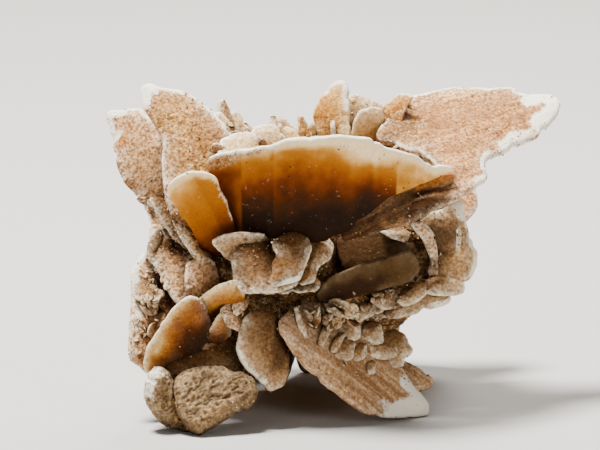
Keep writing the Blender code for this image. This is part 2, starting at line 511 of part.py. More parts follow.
def gypsum():
    material = bpy.data.materials.new("gypsum")
    material.use_nodes = True
    shader = material.node_tree.nodes["Principled BSDF"]
    shader.inputs["Base Color"].default_value = (0.55, 0.36, 0.22, 1)
    shader.inputs["Roughness"].default_value = 0.7
    shader.inputs["Metallic"].default_value = 0.0
    return material


def main():
    clear_scene()
    part = new_collection(NAME)
    blades = new_collection("blades")
    cutters = new_collection("cutters")
    for blade in FRONT_BLADES:
        make_blade(blade, front_to_world(), blades)
    for oval in SIDE_OVALS:
        make_side_oval(oval, blades)
    for tuft in TUFTS:
        make_tuft(tuft, blades)
    make_sprouts(blades)
    heart = make_heart(blades)
    first = heart[0]
    blades.objects.unlink(first)
    cutters.objects.link(first)
    mesh = joined(first, blades, make_floor_cutter(cutters))
    first.modifiers.clear()

    work = bmesh.new()
    work.from_mesh(mesh)
    outer_skin(work)
    bend = math.radians(ONE_FACE_BEND)
    bmesh.ops.dissolve_limit(work, angle_limit=bend, verts=work.verts, edges=work.edges)
    low = [min(vert.co[axis] for vert in work.verts) for axis in range(3)]
    high = [max(vert.co[axis] for vert in work.verts) for axis in range(3)]
    # The origin is the middle of the cluster's box, on the floor.
    origin = Vector(((low[0] + high[0]) / 2, (low[1] + high[1]) / 2, low[2]))
    bmesh.ops.translate(work, vec=-origin, verts=work.verts)
    rose = new_object(NAME, work, part)
    rose.data.materials.append(gypsum())


main()
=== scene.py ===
import math
import random
from collections import namedtuple
from itertools import product
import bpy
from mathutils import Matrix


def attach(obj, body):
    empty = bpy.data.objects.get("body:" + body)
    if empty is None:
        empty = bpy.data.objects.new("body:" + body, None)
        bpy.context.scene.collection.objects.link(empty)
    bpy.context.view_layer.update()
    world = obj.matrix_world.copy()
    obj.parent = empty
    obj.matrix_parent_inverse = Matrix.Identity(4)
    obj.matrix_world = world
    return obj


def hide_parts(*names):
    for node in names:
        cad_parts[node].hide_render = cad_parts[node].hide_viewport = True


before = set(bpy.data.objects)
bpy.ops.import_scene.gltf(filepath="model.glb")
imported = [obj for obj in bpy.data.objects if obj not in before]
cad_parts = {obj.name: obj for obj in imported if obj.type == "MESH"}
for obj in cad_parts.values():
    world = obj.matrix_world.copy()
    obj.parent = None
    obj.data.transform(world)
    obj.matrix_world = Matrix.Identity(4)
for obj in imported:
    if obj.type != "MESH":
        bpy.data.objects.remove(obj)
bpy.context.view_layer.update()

from types import SimpleNamespace

import bmesh
import bpy
import numpy as np
from mathutils import Matrix, Vector
from mathutils.bvhtree import BVHTree

mm = 0.001

# The cluster is drawn from the front: x to the right, z up, depth away from the viewer, all in mm.
drawing = {
    "looksDown": 12.0,  # degrees that the front drawing looks down by
    "footDepth": -20.0,  # depth of the front foot, which stands on the floor
    "axisDepth": 16.0,  # the upright axis stands this far behind the drawing's middle
    "shift": (0.10, 0.886, -0.60),  # from the drawing's floor point to the origin under the box
}

Blade = namedtuple("Blade", "name finish depth right up thick bend outline")
frontBlades = [
    Blade("wing_outer", "rosy", 4, -0.5, 0.3, 2.6, 0, [
        (-50, 70.5), (-49, 71.5), (-42.5, 71.5), (-39.5, 69), (-37, 63.5), (-36.5, 53.5), (-38.5, 50),
        (-43, 51), (-44, 53), (-46.5, 55.5), (-47.5, 58), (-48.5, 62.5), (-49.5, 67)]),
    Blade("wing_inner", "sandy", -6, 0.1, 0.5, 3, 0, [
        (-42.5, 75), (-42.5, 76.5), (-40.5, 77), (-38, 76), (-34.5, 75.5), (-31.5, 74.5), (-29.5, 73),
        (-27, 71), (-24, 68), (-20.5, 62.5), (-21.5, 56), (-26, 50.5), (-32.5, 46), (-35.5, 48),
        (-37, 51.5), (-38, 60.5), (-37.5, 64.5), (-40, 69), (-42, 71.5)]),
    Blade("crown_a", "frosty", -1, 0.1, 0.4, 1.6, 0, [
        (-28, 71), (-26.5, 70.5), (-25, 71), (-22.5, 68), (-20, 63.5), (-21, 58.5), (-25.5, 58),
        (-27.5, 65.5)]),
    Blade("crown_b", "frosty", 2, 0.4, 0.2, 1.2, 0, [
        (-25.5, 73.5), (-24, 73.5), (-23, 71), (-22, 67.5), (-22, 58.5), (-24.5, 58.5), (-25.5, 70.5)]),
    Blade("crown_c", "frosty", 3, -0.2, 0.3, 1.8, 0, [
        (-23, 72.5), (-21.5, 71.5), (-20, 69.5), (-18.5, 66.5), (-18, 58.5), (-22.5, 58.5), (-24, 69)]),
    Blade("crown_d", "frosty", -8, 0.1, 1, 1.6, 0, [
        (-25, 64.5), (-22.5, 66), (-19.5, 66.5), (-17, 65.5), (-15.5, 62.5), (-16, 58.5), (-24, 58),
        (-25.5, 61.5)]),
    Blade("crown_e", "frosty", -4, 0.2, 0.8, 2, 0, [
        (-18.5, 66), (-17, 67.5), (-15.5, 68), (-13.5, 68), (-12, 67), (-10.5, 65), (-11, 60.5),
        (-17, 60)]),
    Blade("crown_f", "crown", -2, 0.3, 0.1, 1, 0, [
        (-12.5, 68.5), (-11, 68), (-10, 65.5), (-10, 60), (-12.5, 60)]),
    Blade("crown_g", "crown", -3, -0.3, 0.3, 1.4, 0, [
        (-11, 67.5), (-8.5, 67), (-7, 64), (-7, 60), (-10.5, 60)]),
    Blade("crown_h", "crown", -1, 0.5, 0.1, 1.6, 0, [
        (-8, 70), (-7, 70), (-5.5, 67.5), (-4.5, 64), (-4.5, 59), (-8.5, 59)]),
    Blade("crown_i", "crown", 4, 0.2, 0.2, 1, 0, [
        (-5.5, 70), (-5, 69.5), (-4, 67.5), (-4, 60), (-5.5, 60)]),
    Blade("crown_peak", "crown", 4, -0.5, 0.25, 2.4, 0, [
        (-5.5, 64), (-5, 67.5), (-4.5, 71), (-3.5, 74), (-2, 76), (-0.5, 77), (1.5, 78), (2.5, 77.5),
        (3.5, 75.5), (3.5, 71), (3.5, 63.5), (-1, 62)]),
    Blade("crown_back", "frosty", 8, 0.2, 0.3, 2, 0, [
        (2.5, 74), (4.5, 75), (7, 74), (9, 73.5), (11, 72), (11.5, 62.5), (10, 58.5), (2.5, 58.5)]),
    Blade("crown_amber", "frosty", 3, 0.3, -0.2, 1.6, 0, [
        (3.5, 63.5), (4, 68), (5.5, 71), (8, 72), (10.5, 71.5), (12, 68), (11.5, 62.5)]),
    Blade("leaf_left", "crown", 2, -0.6, 0.3, 1.4, 0, [
        (10.5, 71.5), (13, 74), (14.5, 75), (18, 75.5), (17.5, 74), (16, 72), (15, 68.5), (13, 63.5),
        (10, 62.5)]),
    Blade("leaf_right", "crown", 3, 1, 0.5, 1.6, 0, [
        (15.5, 72.5), (17.5, 74), (19, 72.5), (18.5, 67), (15.5, 61), (12, 61), (13.5, 66)]),
    Blade("plate_right", "striped", 0, 0.15, 1.2, 3.2, 0, [
        (15.5, 73.5), (21, 75), (25.5, 76), (32, 76), (39.5, 76), (40.5, 75.5), (40, 75), (45.5, 74.5),
        (48.5, 74.5), (50, 73.5), (49.5, 70.5), (47.5, 68), (45, 65.5), (41.5, 64), (37.5, 62), (34, 60.5),
        (33, 58.5), (34, 57), (33, 55.5), (30, 53.5), (26.5, 51.5), (21, 49), (15, 46), (16.5, 50),
        (20, 53.5), (23.5, 57), (20, 60.5), (12.5, 63.5), (8.5, 64.5)]),
    Blade("bowl", "deep", -24, 0, -0.65, 2.2, 0.0135, [
        (-27.5, 60.5), (-23.5, 62), (-19.5, 62.5), (-14, 63.5), (-11, 64.5), (-6.5, 65), (1.5, 65.5),
        (9, 64.5), (11, 63), (14.5, 62), (18, 61), (20, 59.5), (23.5, 59), (26, 58.5), (23.5, 57),
        (20, 55.5), (15.5, 53.5), (12, 52), (8, 49), (3.5, 45), (-2, 42.5), (-11, 42), (-18.5, 42.5),
        (-24.5, 44), (-26.5, 50.5)]),
    Blade("root_right", "shady", -13.4, 0.47, -0.9, 3.4, 0, [
        (1.5, 43), (4, 49), (10, 53), (16.5, 56.5), (22.5, 57.3), (26.4, 57), (24.8, 53.5), (22.5, 50),
        (19, 47.5), (14.5, 46), (8.5, 44.5)]),
    Blade("lobe_left", "honey", -17, 0.1, -0.9, 2.2, 0, [
        (-36.5, 53.5), (-36, 55), (-34, 56.5), (-31.5, 57.5), (-28, 57.5), (-26, 56.5), (-24, 53),
        (-22, 47), (-21.5, 42), (-24, 39), (-27.5, 39), (-30, 42.5), (-32, 46), (-34.5, 49.5)]),
    Blade("lip_a", "pale", -15, 0.1, -0.8, 1.4, 0, [
        (-27, 42.5), (-24, 44), (-20.5, 44.5), (-15.5, 44), (-13.5, 42), (-16, 39), (-20.5, 37),
        (-24, 39)]),
    Blade("scoop_a", "cup", -18, 0.1, 0.45, 2.2, 0, [
        (-20, 42), (-22, 40), (-22.5, 38), (-22, 34), (-20.5, 31.5), (-18, 31), (-13.5, 31), (-9, 32),
        (-6.5, 35), (-7.5, 40), (-12, 42.5), (-16.5, 43)]),
    Blade("scoop_b", "cup", -20, 0.3, 0.35, 2, 0, [
        (-13.5, 42.5), (-13, 39.5), (-14, 36), (-14, 33), (-13, 32.5), (-10.5, 33), (-7.5, 34), (-6, 38),
        (-5, 41), (-6, 43.5), (-9.5, 44.5)]),
    Blade("scoop_c", "cup", -16, 0.5, 0.3, 1.8, 0, [
        (-6, 43), (-2.5, 44), (0, 41.5), (-1, 38.5), (-3.5, 36.5), (-4.5, 33.5), (-7.5, 33), (-7.5, 38)]),
    Blade("scoop_d", "cup", -14, 0.2, 1.2, 1.4, 0, [
        (-16, 32.5), (-14, 35.5), (-7.5, 36), (-3.5, 34.5), (-3, 32.5), (-4, 31.5), (-9.5, 31),
        (-15, 31)]),
    Blade("shelf_dark", "bronze", -12, 0.25, -0.7, 2.4, 0, [
        (-4, 32), (-1, 34.5), (2.5, 36), (8, 38), (13.5, 39.5), (16, 40.5), (17.5, 39.5), (18.5, 37.5),
        (18.5, 35.5), (17.5, 34), (14, 33), (8.5, 31.5), (3.5, 30), (-1, 29), (-4, 29.5)]),
    Blade("hollow_back", "bronze", -8, 0.3, 0.2, 2.4, 0, [
        (0.5, 42.5), (4, 45), (10, 45.5), (15.5, 43.5), (17.5, 40.5), (16.5, 35.5), (7.5, 34), (2, 36.5)]),
    Blade("spike_mid", "pale", -9, 0.4, 1, 1.4, 0, [
        (9.5, 45), (13.5, 46), (16.5, 44.5), (20, 41.5), (16.5, 42), (13, 43)]),
    Blade("curl_right", "rosy", -9, 0.2, -0.08, 3, 0, [
        (16.5, 46.5), (19, 47), (22, 44), (23, 38.5), (22.5, 35), (20.5, 35), (21, 38.5), (19.5, 42.5),
        (17.5, 45)]),
    Blade("stack_a", "pale", -5, 0.5, 0.3, 2.6, 0, [
        (19.5, 48), (23.5, 49.5), (27.5, 51.5), (28.5, 50.5), (29, 48), (28.5, 45.5), (29.5, 44.5),
        (28.5, 42), (24.5, 39.5), (21, 41.5), (19, 45)]),
    Blade("stack_b", "pale", -5, 0.3, 0.2, 2.8, 0, [
        (22, 40.5), (26, 42.5), (29, 43.5), (31, 42), (31.5, 39.5), (31, 36), (30, 34), (27.5, 33),
        (24, 33.5), (21.5, 35), (21, 38)]),
    Blade("stack_c", "pale", -7, 0.3, 0.5, 2.2, 0, [
        (20, 34), (24.5, 35), (28.5, 33.5), (28.5, 31.5), (26.5, 30.5), (23, 30.5), (20, 31)]),
    Blade("stack_d", "coarse", -6.5, 0.2, 0.2, 2.6, 0, [
        (14, 29.5), (15, 32), (21.5, 33), (25.5, 30.5), (26, 29), (21, 27.5), (16.5, 26), (11, 24.5),
        (8.5, 24.5), (11, 27)]),
    Blade("stack_e", "pale", -9, 0.4, 0.4, 1.8, 0, [
        (13.5, 29.5), (15.5, 31), (18, 33), (21, 33.5), (21.5, 32.5), (20, 30.5), (18, 29), (15, 28)]),
    Blade("stack_f", "coarse", -6.5, 0.5, 0.3, 1.6, 0, [
        (8, 29), (9, 31), (11.5, 32), (14, 31.5), (14.5, 29.5), (13.5, 27.5), (11, 27.5)]),
    Blade("stack_g", "coarse", -6, 0.2, 0.6, 1.8, 0, [
        (2.5, 28.5), (6, 30.5), (9.5, 29.5), (9, 26.5), (6, 25), (2.5, 26)]),
    Blade("stack_h", "pale", -9, 1, 0.1, 1.2, 0, [
        (0, 29.5), (2.5, 29.5), (2, 24.5), (0, 24.5)]),
    Blade("side_a", "rosy", -1, -0.5, 0.4, 2, 0, [
        (-43, 51.5), (-40, 52.5), (-36.5, 51), (-34.5, 47.5), (-35.5, 43), (-40, 43), (-40.5, 46.5),
        (-41.5, 49)]),
    Blade("side_b", "sandy", -7, 0.8, 0.3, 1.4, 0, [
        (-40.5, 52), (-37, 51.5), (-34, 46.5), (-30.5, 40.5), (-32.5, 40.5), (-36.5, 44.5)]),
    Blade("side_c", "rosy", -5, -0.2, 0.5, 1.4, 0, [
        (-40.5, 46), (-38.5, 46), (-31.5, 41.5), (-30.5, 38.5), (-34, 38.5), (-40.5, 42.5)]),
    Blade("side_d", "sandy", -11, 0.6, 0.2, 1.6, 0, [
        (-35, 49.5), (-32, 46), (-29.5, 42), (-26, 38.5), (-26.5, 35), (-28.5, 36), (-32.5, 41.5),
        (-35.5, 46.5)]),
    Blade("side_e", "rosy", -9, 0.2, 0.35, 2.2, 0, [
        (-41, 42), (-39.5, 43), (-35, 41.5), (-31, 38), (-31, 32), (-34, 28.5), (-36, 30.5), (-38.5, 35.5),
        (-41, 39)]),
    Blade("side_f", "rosy", -12, 0.3, 0.3, 2.2, 0, [
        (-32.5, 37.5), (-30.5, 38.5), (-28, 39), (-26, 37.5), (-25, 33.5), (-26.5, 29), (-30.5, 29),
        (-32.5, 31.5)]),
    Blade("flank", "rosy", -8, 0.4, 0.25, 3.4, 0, [
        (-41.5, 40), (-43.5, 37.5), (-44.5, 35.5), (-44.5, 32), (-44.5, 28.5), (-45, 24), (-45, 19.5),
        (-44.5, 16.5), (-42.5, 15), (-40.5, 13), (-37.5, 16.5), (-35, 23), (-34, 28), (-36.5, 32),
        (-38.5, 36)]),
    Blade("scoop_left", "cup", -18, 0.35, -0.6, 2.2, 0.01, [
        (-42, 15.5), (-41, 19), (-38.5, 23), (-36, 27), (-33.5, 29.5), (-31.5, 30.5), (-29.5, 30),
        (-27.5, 27), (-27, 22.5), (-29, 19), (-32.5, 16), (-37.5, 14), (-41, 13.5)]),
    Blade("lip_b", "honey", -18, 0.2, -0.9, 1.6, 0, [
        (-31, 27.5), (-28.5, 31), (-25, 33), (-21.5, 34), (-19.5, 32), (-20, 29), (-23.5, 27), (-28, 26)]),
    Blade("lip_c", "honey", -16, 0.4, -0.6, 1.2, 0, [
        (-28, 20), (-27.5, 23), (-26, 25.5), (-24, 27.5), (-22, 26.5), (-22.5, 22), (-25.5, 19.5)]),
    Blade("chip_a", "rosy", -17, 0.5, 0.3, 1.4, 0, [
        (-25, 27.5), (-23, 29), (-20.5, 27.5), (-20, 24.5), (-20.5, 22.5), (-23.5, 24)]),
    Blade("chip_b", "rosy", -16, 0.2, 0.4, 1.2, 0, [
        (-22.5, 28.5), (-20.5, 30.5), (-18.5, 31), (-19, 28), (-20.5, 25.5), (-22.5, 27)]),
    Blade("heel", "cup", -15, 0.2, 0.4, 3, 0, [
        (-35, 17), (-31.5, 18.5), (-28.5, 20), (-24.5, 21), (-20.5, 20), (-19, 16), (-20.5, 12),
        (-28.5, 11.5), (-35, 11), (-37.5, 13.5)]),
    Blade("pendant", "coarse", -17, 0.25, 0.15, 3, 0, [
        (-18.5, 27), (-20, 25.5), (-21, 22.5), (-21.5, 19.5), (-20.5, 16.5), (-19, 14), (-16.5, 12),
        (-14.5, 10), (-13, 9.5), (-11, 11), (-10, 14), (-10, 18.5), (-10.5, 22.5), (-12.5, 26),
        (-15.5, 27.5)]),
    Blade("pendant_fin", "dusky", -13, 0.7, 0.2, 2, 0, [
        (-14, 23), (-11, 23.5), (-9, 19.5), (-9.5, 14), (-11, 11), (-13.5, 11)]),
    Blade("knob_right", "knob", -20, 0.1, 0.35, 6, 0, [
        (-35.5, 10), (-34.5, 12.5), (-32.5, 14), (-28.5, 15), (-24.5, 15), (-21, 14), (-18, 12.5),
        (-16.5, 10.5), (-17, 8), (-18.5, 6), (-21.5, 5), (-24, 3.5), (-27, 1.5), (-29.5, 0), (-32, 2),
        (-34.5, 5.5)]),
    Blade("knob_left", "knob", -19, 0.3, -0.1, 6, 0, [
        (-41, 12.5), (-40, 14.5), (-38, 15), (-35.5, 13), (-34.5, 9.5), (-33, 6.5), (-31, 3.5), (-29.5, 1),
        (-31.5, 0), (-34.5, 1), (-37, 2), (-39, 4), (-40.5, 6), (-41.5, 9)]),
    Blade("floor_plate", "golden", -9.3, 0.75, 0.55, 3, 0, [
        (-11.5, 22), (-10, 19.5), (-6.5, 15), (-2, 11), (2.5, 7.5), (7, 4.5), (12, 3.5), (17, 3.5),
        (20.5, 4), (21, 5.5), (20, 7.5), (17.5, 10), (15.5, 13), (13, 18), (8.5, 23.5), (3.5, 28),
        (-3, 29.5), (-9, 28), (-12, 25)]),
    Blade("floor_branch", "golden", 0.5, 0.75, 0.55, 2.4, 0, [
        (11, 18.5), (15.5, 16), (20, 13.5), (22, 11.5), (21, 10), (18.5, 9.5), (15.5, 11), (11, 14)]),
    Blade("tooth_a", "coarse", -3, 0.5, 0.3, 2.6, 0, [
        (9.5, 22), (13, 23), (15.5, 22), (16.5, 20), (17.5, 18.5), (16.5, 17), (15, 15), (13, 14.5),
        (11, 17), (9, 19.5)]),
    Blade("tooth_b", "coarse", -5.4, 0.5, 0.7, 2, 0, [
        (7.5, 19.5), (8.5, 21), (10.5, 21.5), (13, 20.5), (14, 17.5), (11.5, 16.5), (8, 17)]),
    Blade("tooth_c", "coarse", -11.5, 0.6, 0.3, 1.6, 0, [
        (0, 17.5), (1, 20.5), (3, 22), (4.5, 20), (4, 16.5), (2, 16)]),
    Blade("tooth_d", "coarse", -13.3, 0.4, 0.5, 1.6, 0, [
        (-1, 18), (0.5, 18), (2.5, 22), (1.5, 22.5), (-0.5, 20.5)]),
    Blade("tooth_e", "coarse", -9.4, 1, 0.2, 1.2, 0, [
        (4, 16.5), (5, 20.5), (7, 20), (7, 17), (5.5, 16)]),
    Blade("tooth_f", "coarse", -9.4, 1, 0.2, 1, 0, [
        (7, 13.5), (7.5, 16.5), (9, 16), (9, 13)]),
    Blade("tooth_g", "coarse", -5, 0.6, 0.3, 2, 0, [
        (6, 24), (8, 25), (10, 24.5), (11, 22.5), (10.5, 19.5), (8, 19.5), (6, 21)]),
    Blade("tooth_h", "coarse", -14.1, 0.9, 0.4, 1.6, 0, [
        (-3.5, 19.5), (-2.5, 19.5), (-0.5, 24), (-1.5, 25), (-3, 22.5)]),
    Blade("tooth_i", "coarse", -8.6, 0.6, 0.5, 1.6, 0, [
        (1, 24.5), (3.5, 26), (5.5, 24), (5.5, 21), (2.5, 20.5), (1, 22)]),
    Blade("tooth_j", "coarse", -15.4, 0.9, 0.3, 1.6, 0, [
        (-9, 28), (-8, 28.5), (-6.5, 25), (-5.5, 21), (-6.5, 21), (-8, 24)]),
]

# Ovals on the sides and the back: each is drawn upright about the axis after a turn of so many degrees.
Oval = namedtuple("Oval", "name finish turn x z width height spin depth right up thick")
sideOvals = [
    Oval("left_fan", "rosy", 270, -9, 50, 30, 25, 20, -30, -0.3, -0.5, 2.8),
    Oval("left_shield", "sandy", 270, -2, 32, 31, 26, 60, -36, -0.2, 0.1, 3.0),
    Oval("left_low", "rosy", 270, -13, 18, 28, 22, 150, -32, -0.5, 0.3, 2.6),
    Oval("left_high", "sandy", 270, -24, 49, 22, 25, 100, -22, 0.6, -0.2, 2.4),
    Oval("back_fan", "striped", 180, -14, 43, 37, 24, 15, -27, 0.2, -0.7, 2.8),
    Oval("back_wing", "rosy", 180, 16, 44, 34, 26, 160, -20, -0.3, -0.4, 2.6),
    Oval("back_shield", "sandy", 180, -12, 27, 34, 25, 30, -31, -0.3, 0.15, 3.2),
    Oval("back_leaf", "rosy", 180, 17, 27, 30, 26, 100, -28, 0.4, -0.2, 2.8),
    Oval("back_cross", "pale", 180, 2, 36, 16, 30, 10, -24, 1.9, 0.2, 2.4),
    Oval("rear_foot", "coarse", 180, -3, 10, 26, 25, 80, -25, 0.2, 0.1, 3.8),
    Oval("rear_heel", "coarse", 180, 19, 11, 25, 27, 20, -20, -0.7, 0.1, 3.4),
    Oval("right_fan", "sandy", 90, 8, 49, 27, 19, 10, -18, -0.2, -0.7, 2.8),
    Oval("right_shield", "rosy", 90, 8, 36, 26, 19, 40, -22, 0.3, 0.1, 3.0),
    Oval("right_cross", "pale", 90, 12, 36, 14, 24, 30, -20, -1.2, 0.3, 2.4),
    Oval("right_mid", "sandy", 90, -3, 34, 23, 19, 120, -24.5, 0.25, -0.15, 2.6),
    Oval("right_low", "coarse", 90, 13, 22, 24, 19, 20, -16, -0.25, -0.55, 2.8),
]
ovalCorners = 10
ovalMiddle = 36  # mm above the floor; the ovals' free rims point away from here

# Tufts of tiny blades in the front drawing.
Tuft = namedtuple("Tuft", "name x z depth wide high count size")
tufts = [
    Tuft("tuft_floor", -4, 26, -13, 14, 6, 7, 5.5),
    Tuft("tuft_flank", -39.5, 25, -9.5, 5, 15, 7, 5),
    Tuft("tuft_side", -36, 46, -6, 6, 12, 5, 7),
    Tuft("tuft_stack", 8, 28, -5, 12, 5, 5, 5.5),
    Tuft("tuft_crown", -14, 62, -5, 20, 4, 6, 7),
    Tuft("tuft_leaf", 14, 65, 2, 8, 5, 4, 6),
]
tuftLook = {
    "corners": 6,
    "thick": 1.2,
    "sizes": (0.8, 1.3),
    "slimness": (0.6, 0.9),
    "slopeRight": (-1.2, 1.2),
    "slopeUp": (-0.3, 1.0),
    "rough": 0.5,  # share of the chips of a large blade
}

# Blades that sprout from the hidden sides, evenly spread over an egg.
sprouts = {
    "centre": (-4, 3, 39),
    "half": (21.5, 18, 18.5),
    "spots": 44,
    "corners": 8,
    "widths": (12, 18),
    "heights": (9, 15),
    "thicknesses": (1.6, 2.4),
    "swing": 0.4,
    "roll": 90,
    "frontLimit": -0.3,
    "seed": 7,
}

# Lumps of sand and tiny crystals that the blades grow from: centre and half sizes about the axis.
heartLumps = [
    ((-12, -3, 36), (18, 18, 15)),
    ((11, -1, 36), (16, 13, 13)),
    ((-25, -8, 24), (14, 13, 15)),
    ((-1, -4, 28), (15, 14, 9)),
    ((0, 12, 24), (20, 16, 15)),
    ((-10, 3, 48), (24, 17, 10)),
]

# What each finish of the crystal looks like. tint and shade are its two body colours in sRGB, frost the
# whiteness of the rim and frostWide its width in mm, sand the crust on the faces, relief the roughness of
# the faces in mm, smooth how little sand and pitting it has, cream how far it pales towards its rim, and
# stripe how strongly its growth lines show.
Finish = namedtuple("Finish", "tint shade frost frostWide sand relief smooth cream stripe")
finishes = {
    "rosy": Finish("#D6A472", "#B08050", 0.7, 0.45, 0.2, 0.16, 0, 0.95, 0.2),
    "sandy": Finish("#CE9A5C", "#A47240", 0.7, 0.45, 0.35, 0.2, 0, 0.95, 0.2),
    "pale": Finish("#C89E6C", "#90683C", 0.7, 0.45, 0.15, 0.14, 0.3, 0.95, 0.2),
    # cup is darkened as painted shade, for blades under overhangs
    "cup": Finish("#80592E", "#4A3014", 0.7, 0.4, 0.12, 0.08, 0.2, 0.95, 0.2),
    "crown": Finish("#DA983E", "#B4701E", 0.9, 0.4, 0.2, 0.12, 0.4, 0.5, 0.2),
    "frosty": Finish("#D8B27C", "#9E743E", 1.0, 0.6, 0.15, 0.12, 0.5, 0.95, 0.2),
    "coarse": Finish("#A47C4E", "#6C4826", 0.4, 0.35, 0.3, 0.12, 0.4, 0.95, 0.2),
    # dusky, bronze and shady are painted shade: very dark and dark brown for faces that lie in shadow
    "dusky": Finish("#1E1206", "#100802", 0.0, 0.3, 0.0, 0.06, 0.95, 0.1, 0),
    "bronze": Finish("#4A3212", "#1C1002", 0.0, 0.3, 0.1, 0.06, 0.85, 0.08, 0),
    "shady": Finish("#8C5E32", "#5C3A1C", 0.1, 0.3, 0.55, 0.14, 0.3, 0.2, 0.35),
    "striped": Finish("#D2985E", "#AE7442", 0.9, 0.5, 0.2, 0.14, 0, 0.95, 0.7),
    "golden": Finish("#DDB68C", "#B48A5E", 0.1, 0.5, 0.25, 0.14, 0.35, 0.3, 0.9),
    "knob": Finish("#9A805E", "#6E583C", 0.0, 0.4, 0.15, 0.3, 0.3, 0, 0),
    "honey": Finish("#B88448", "#80501E", 0.9, 0.35, 0.12, 0.1, 0, 0.95, 0.2),
    "deep": Finish("#A87036", "#6E3C12", 1.0, 0.5, 0.12, 0.1, 0, 0.95, 0.2),
}
# Painted light through clear crystal: cream under its rim, then amber, then painted shade where no light
# comes
# through: how many mm that takes, the way to the lit rim in degrees above the x axis, and how clear the blade
# is.
Glow = namedtuple("Glow", "depth toRim share")
glows = {
    "bowl": Glow(17.5, 90, 1.0),
    "lobe_left": Glow(33.0, 115, 1.0),
    "crown_peak": Glow(38.0, 60, 0.55),
    "crown_f": Glow(24.0, 90, 0.5),
    "crown_g": Glow(24.0, 90, 0.5),
    "crown_h": Glow(20.0, 90, 0.5),
    "crown_i": Glow(20.0, 90, 0.5),
    "crown_amber": Glow(60.0, 70, 0.7),
    "lip_b": Glow(11.0, 110, 0.7),
    "lip_c": Glow(10.0, 60, 0.6),
    "scoop_left": Glow(8.5, 155, 0.75),
}
glowStops = (
    (0.0, "#FAE2AE"), (0.07, "#EBC27A"), (0.16, "#C88C34"), (0.24, "#AC6A08"), (0.36, "#9C5800"),
    (0.46, "#8A4600"), (0.57, "#743400"), (0.67, "#5A2600"), (0.77, "#3E1A00"), (0.87, "#321806"),
    (1.0, "#1E1006"),
)
# The way that a blade's free rim points in its drawing, in degrees; its other end is rooted in the cluster.
# A blade without a row points away from the middle of the cluster.
freeWays = {
    "wing_outer": 110, "wing_inner": 105, "crown_back": 60, "root_right": 300, "lip_a": 170, "scoop_a": 250,
    "scoop_b": 285, "scoop_c": 320, "scoop_d": 270, "hollow_back": 0, "spike_mid": 300, "curl_right": 60,
    "stack_a": 60, "stack_b": 10, "stack_c": 330, "stack_d": 340, "stack_e": 300, "stack_f": 330,
    "stack_g": 320, "stack_h": 300, "side_a": 160, "side_b": 240, "side_c": 200, "side_d": 200,
    "side_e": 285, "side_f": 110, "flank": 60, "lip_b": 110, "lip_c": 60, "heel": 300, "pendant": 230,
    "pendant_fin": 250, "floor_plate": 315, "floor_branch": 320, "knob_right": 100, "knob_left": 110,
}
rootless = {
    "bowl", "plate_right", "lobe_left", "knob_right", "knob_left", "scoop_left", "shelf_dark", "floor_plate",
    "flank", "curl_right", "crown_amber", "root_right",
}
rootLook = {
    "centre": (0, 42),  # other blades point away from here
    "sink": 2.0,  # mm that the rooted end leans back at most
    "sinkShare": 0.15,  # and as a share of the blade's length
    # painted shade at the rooted end, where the blade goes into the cluster: how dark and its colour
    "dark": 0.8,
    "colour": "#4A2E18",
    "shadeTo": 0.75,  # share of the way to the free rim where the painted shade of the root ends
}
# The way that a blade's growth lines run in its drawing, in degrees above the x axis.
stripeTurns = {
    "plate_right": 21.0, "floor_plate": -38.0, "floor_branch": -35.0, "back_fan": 30.0, "root_right": 28.0,
}
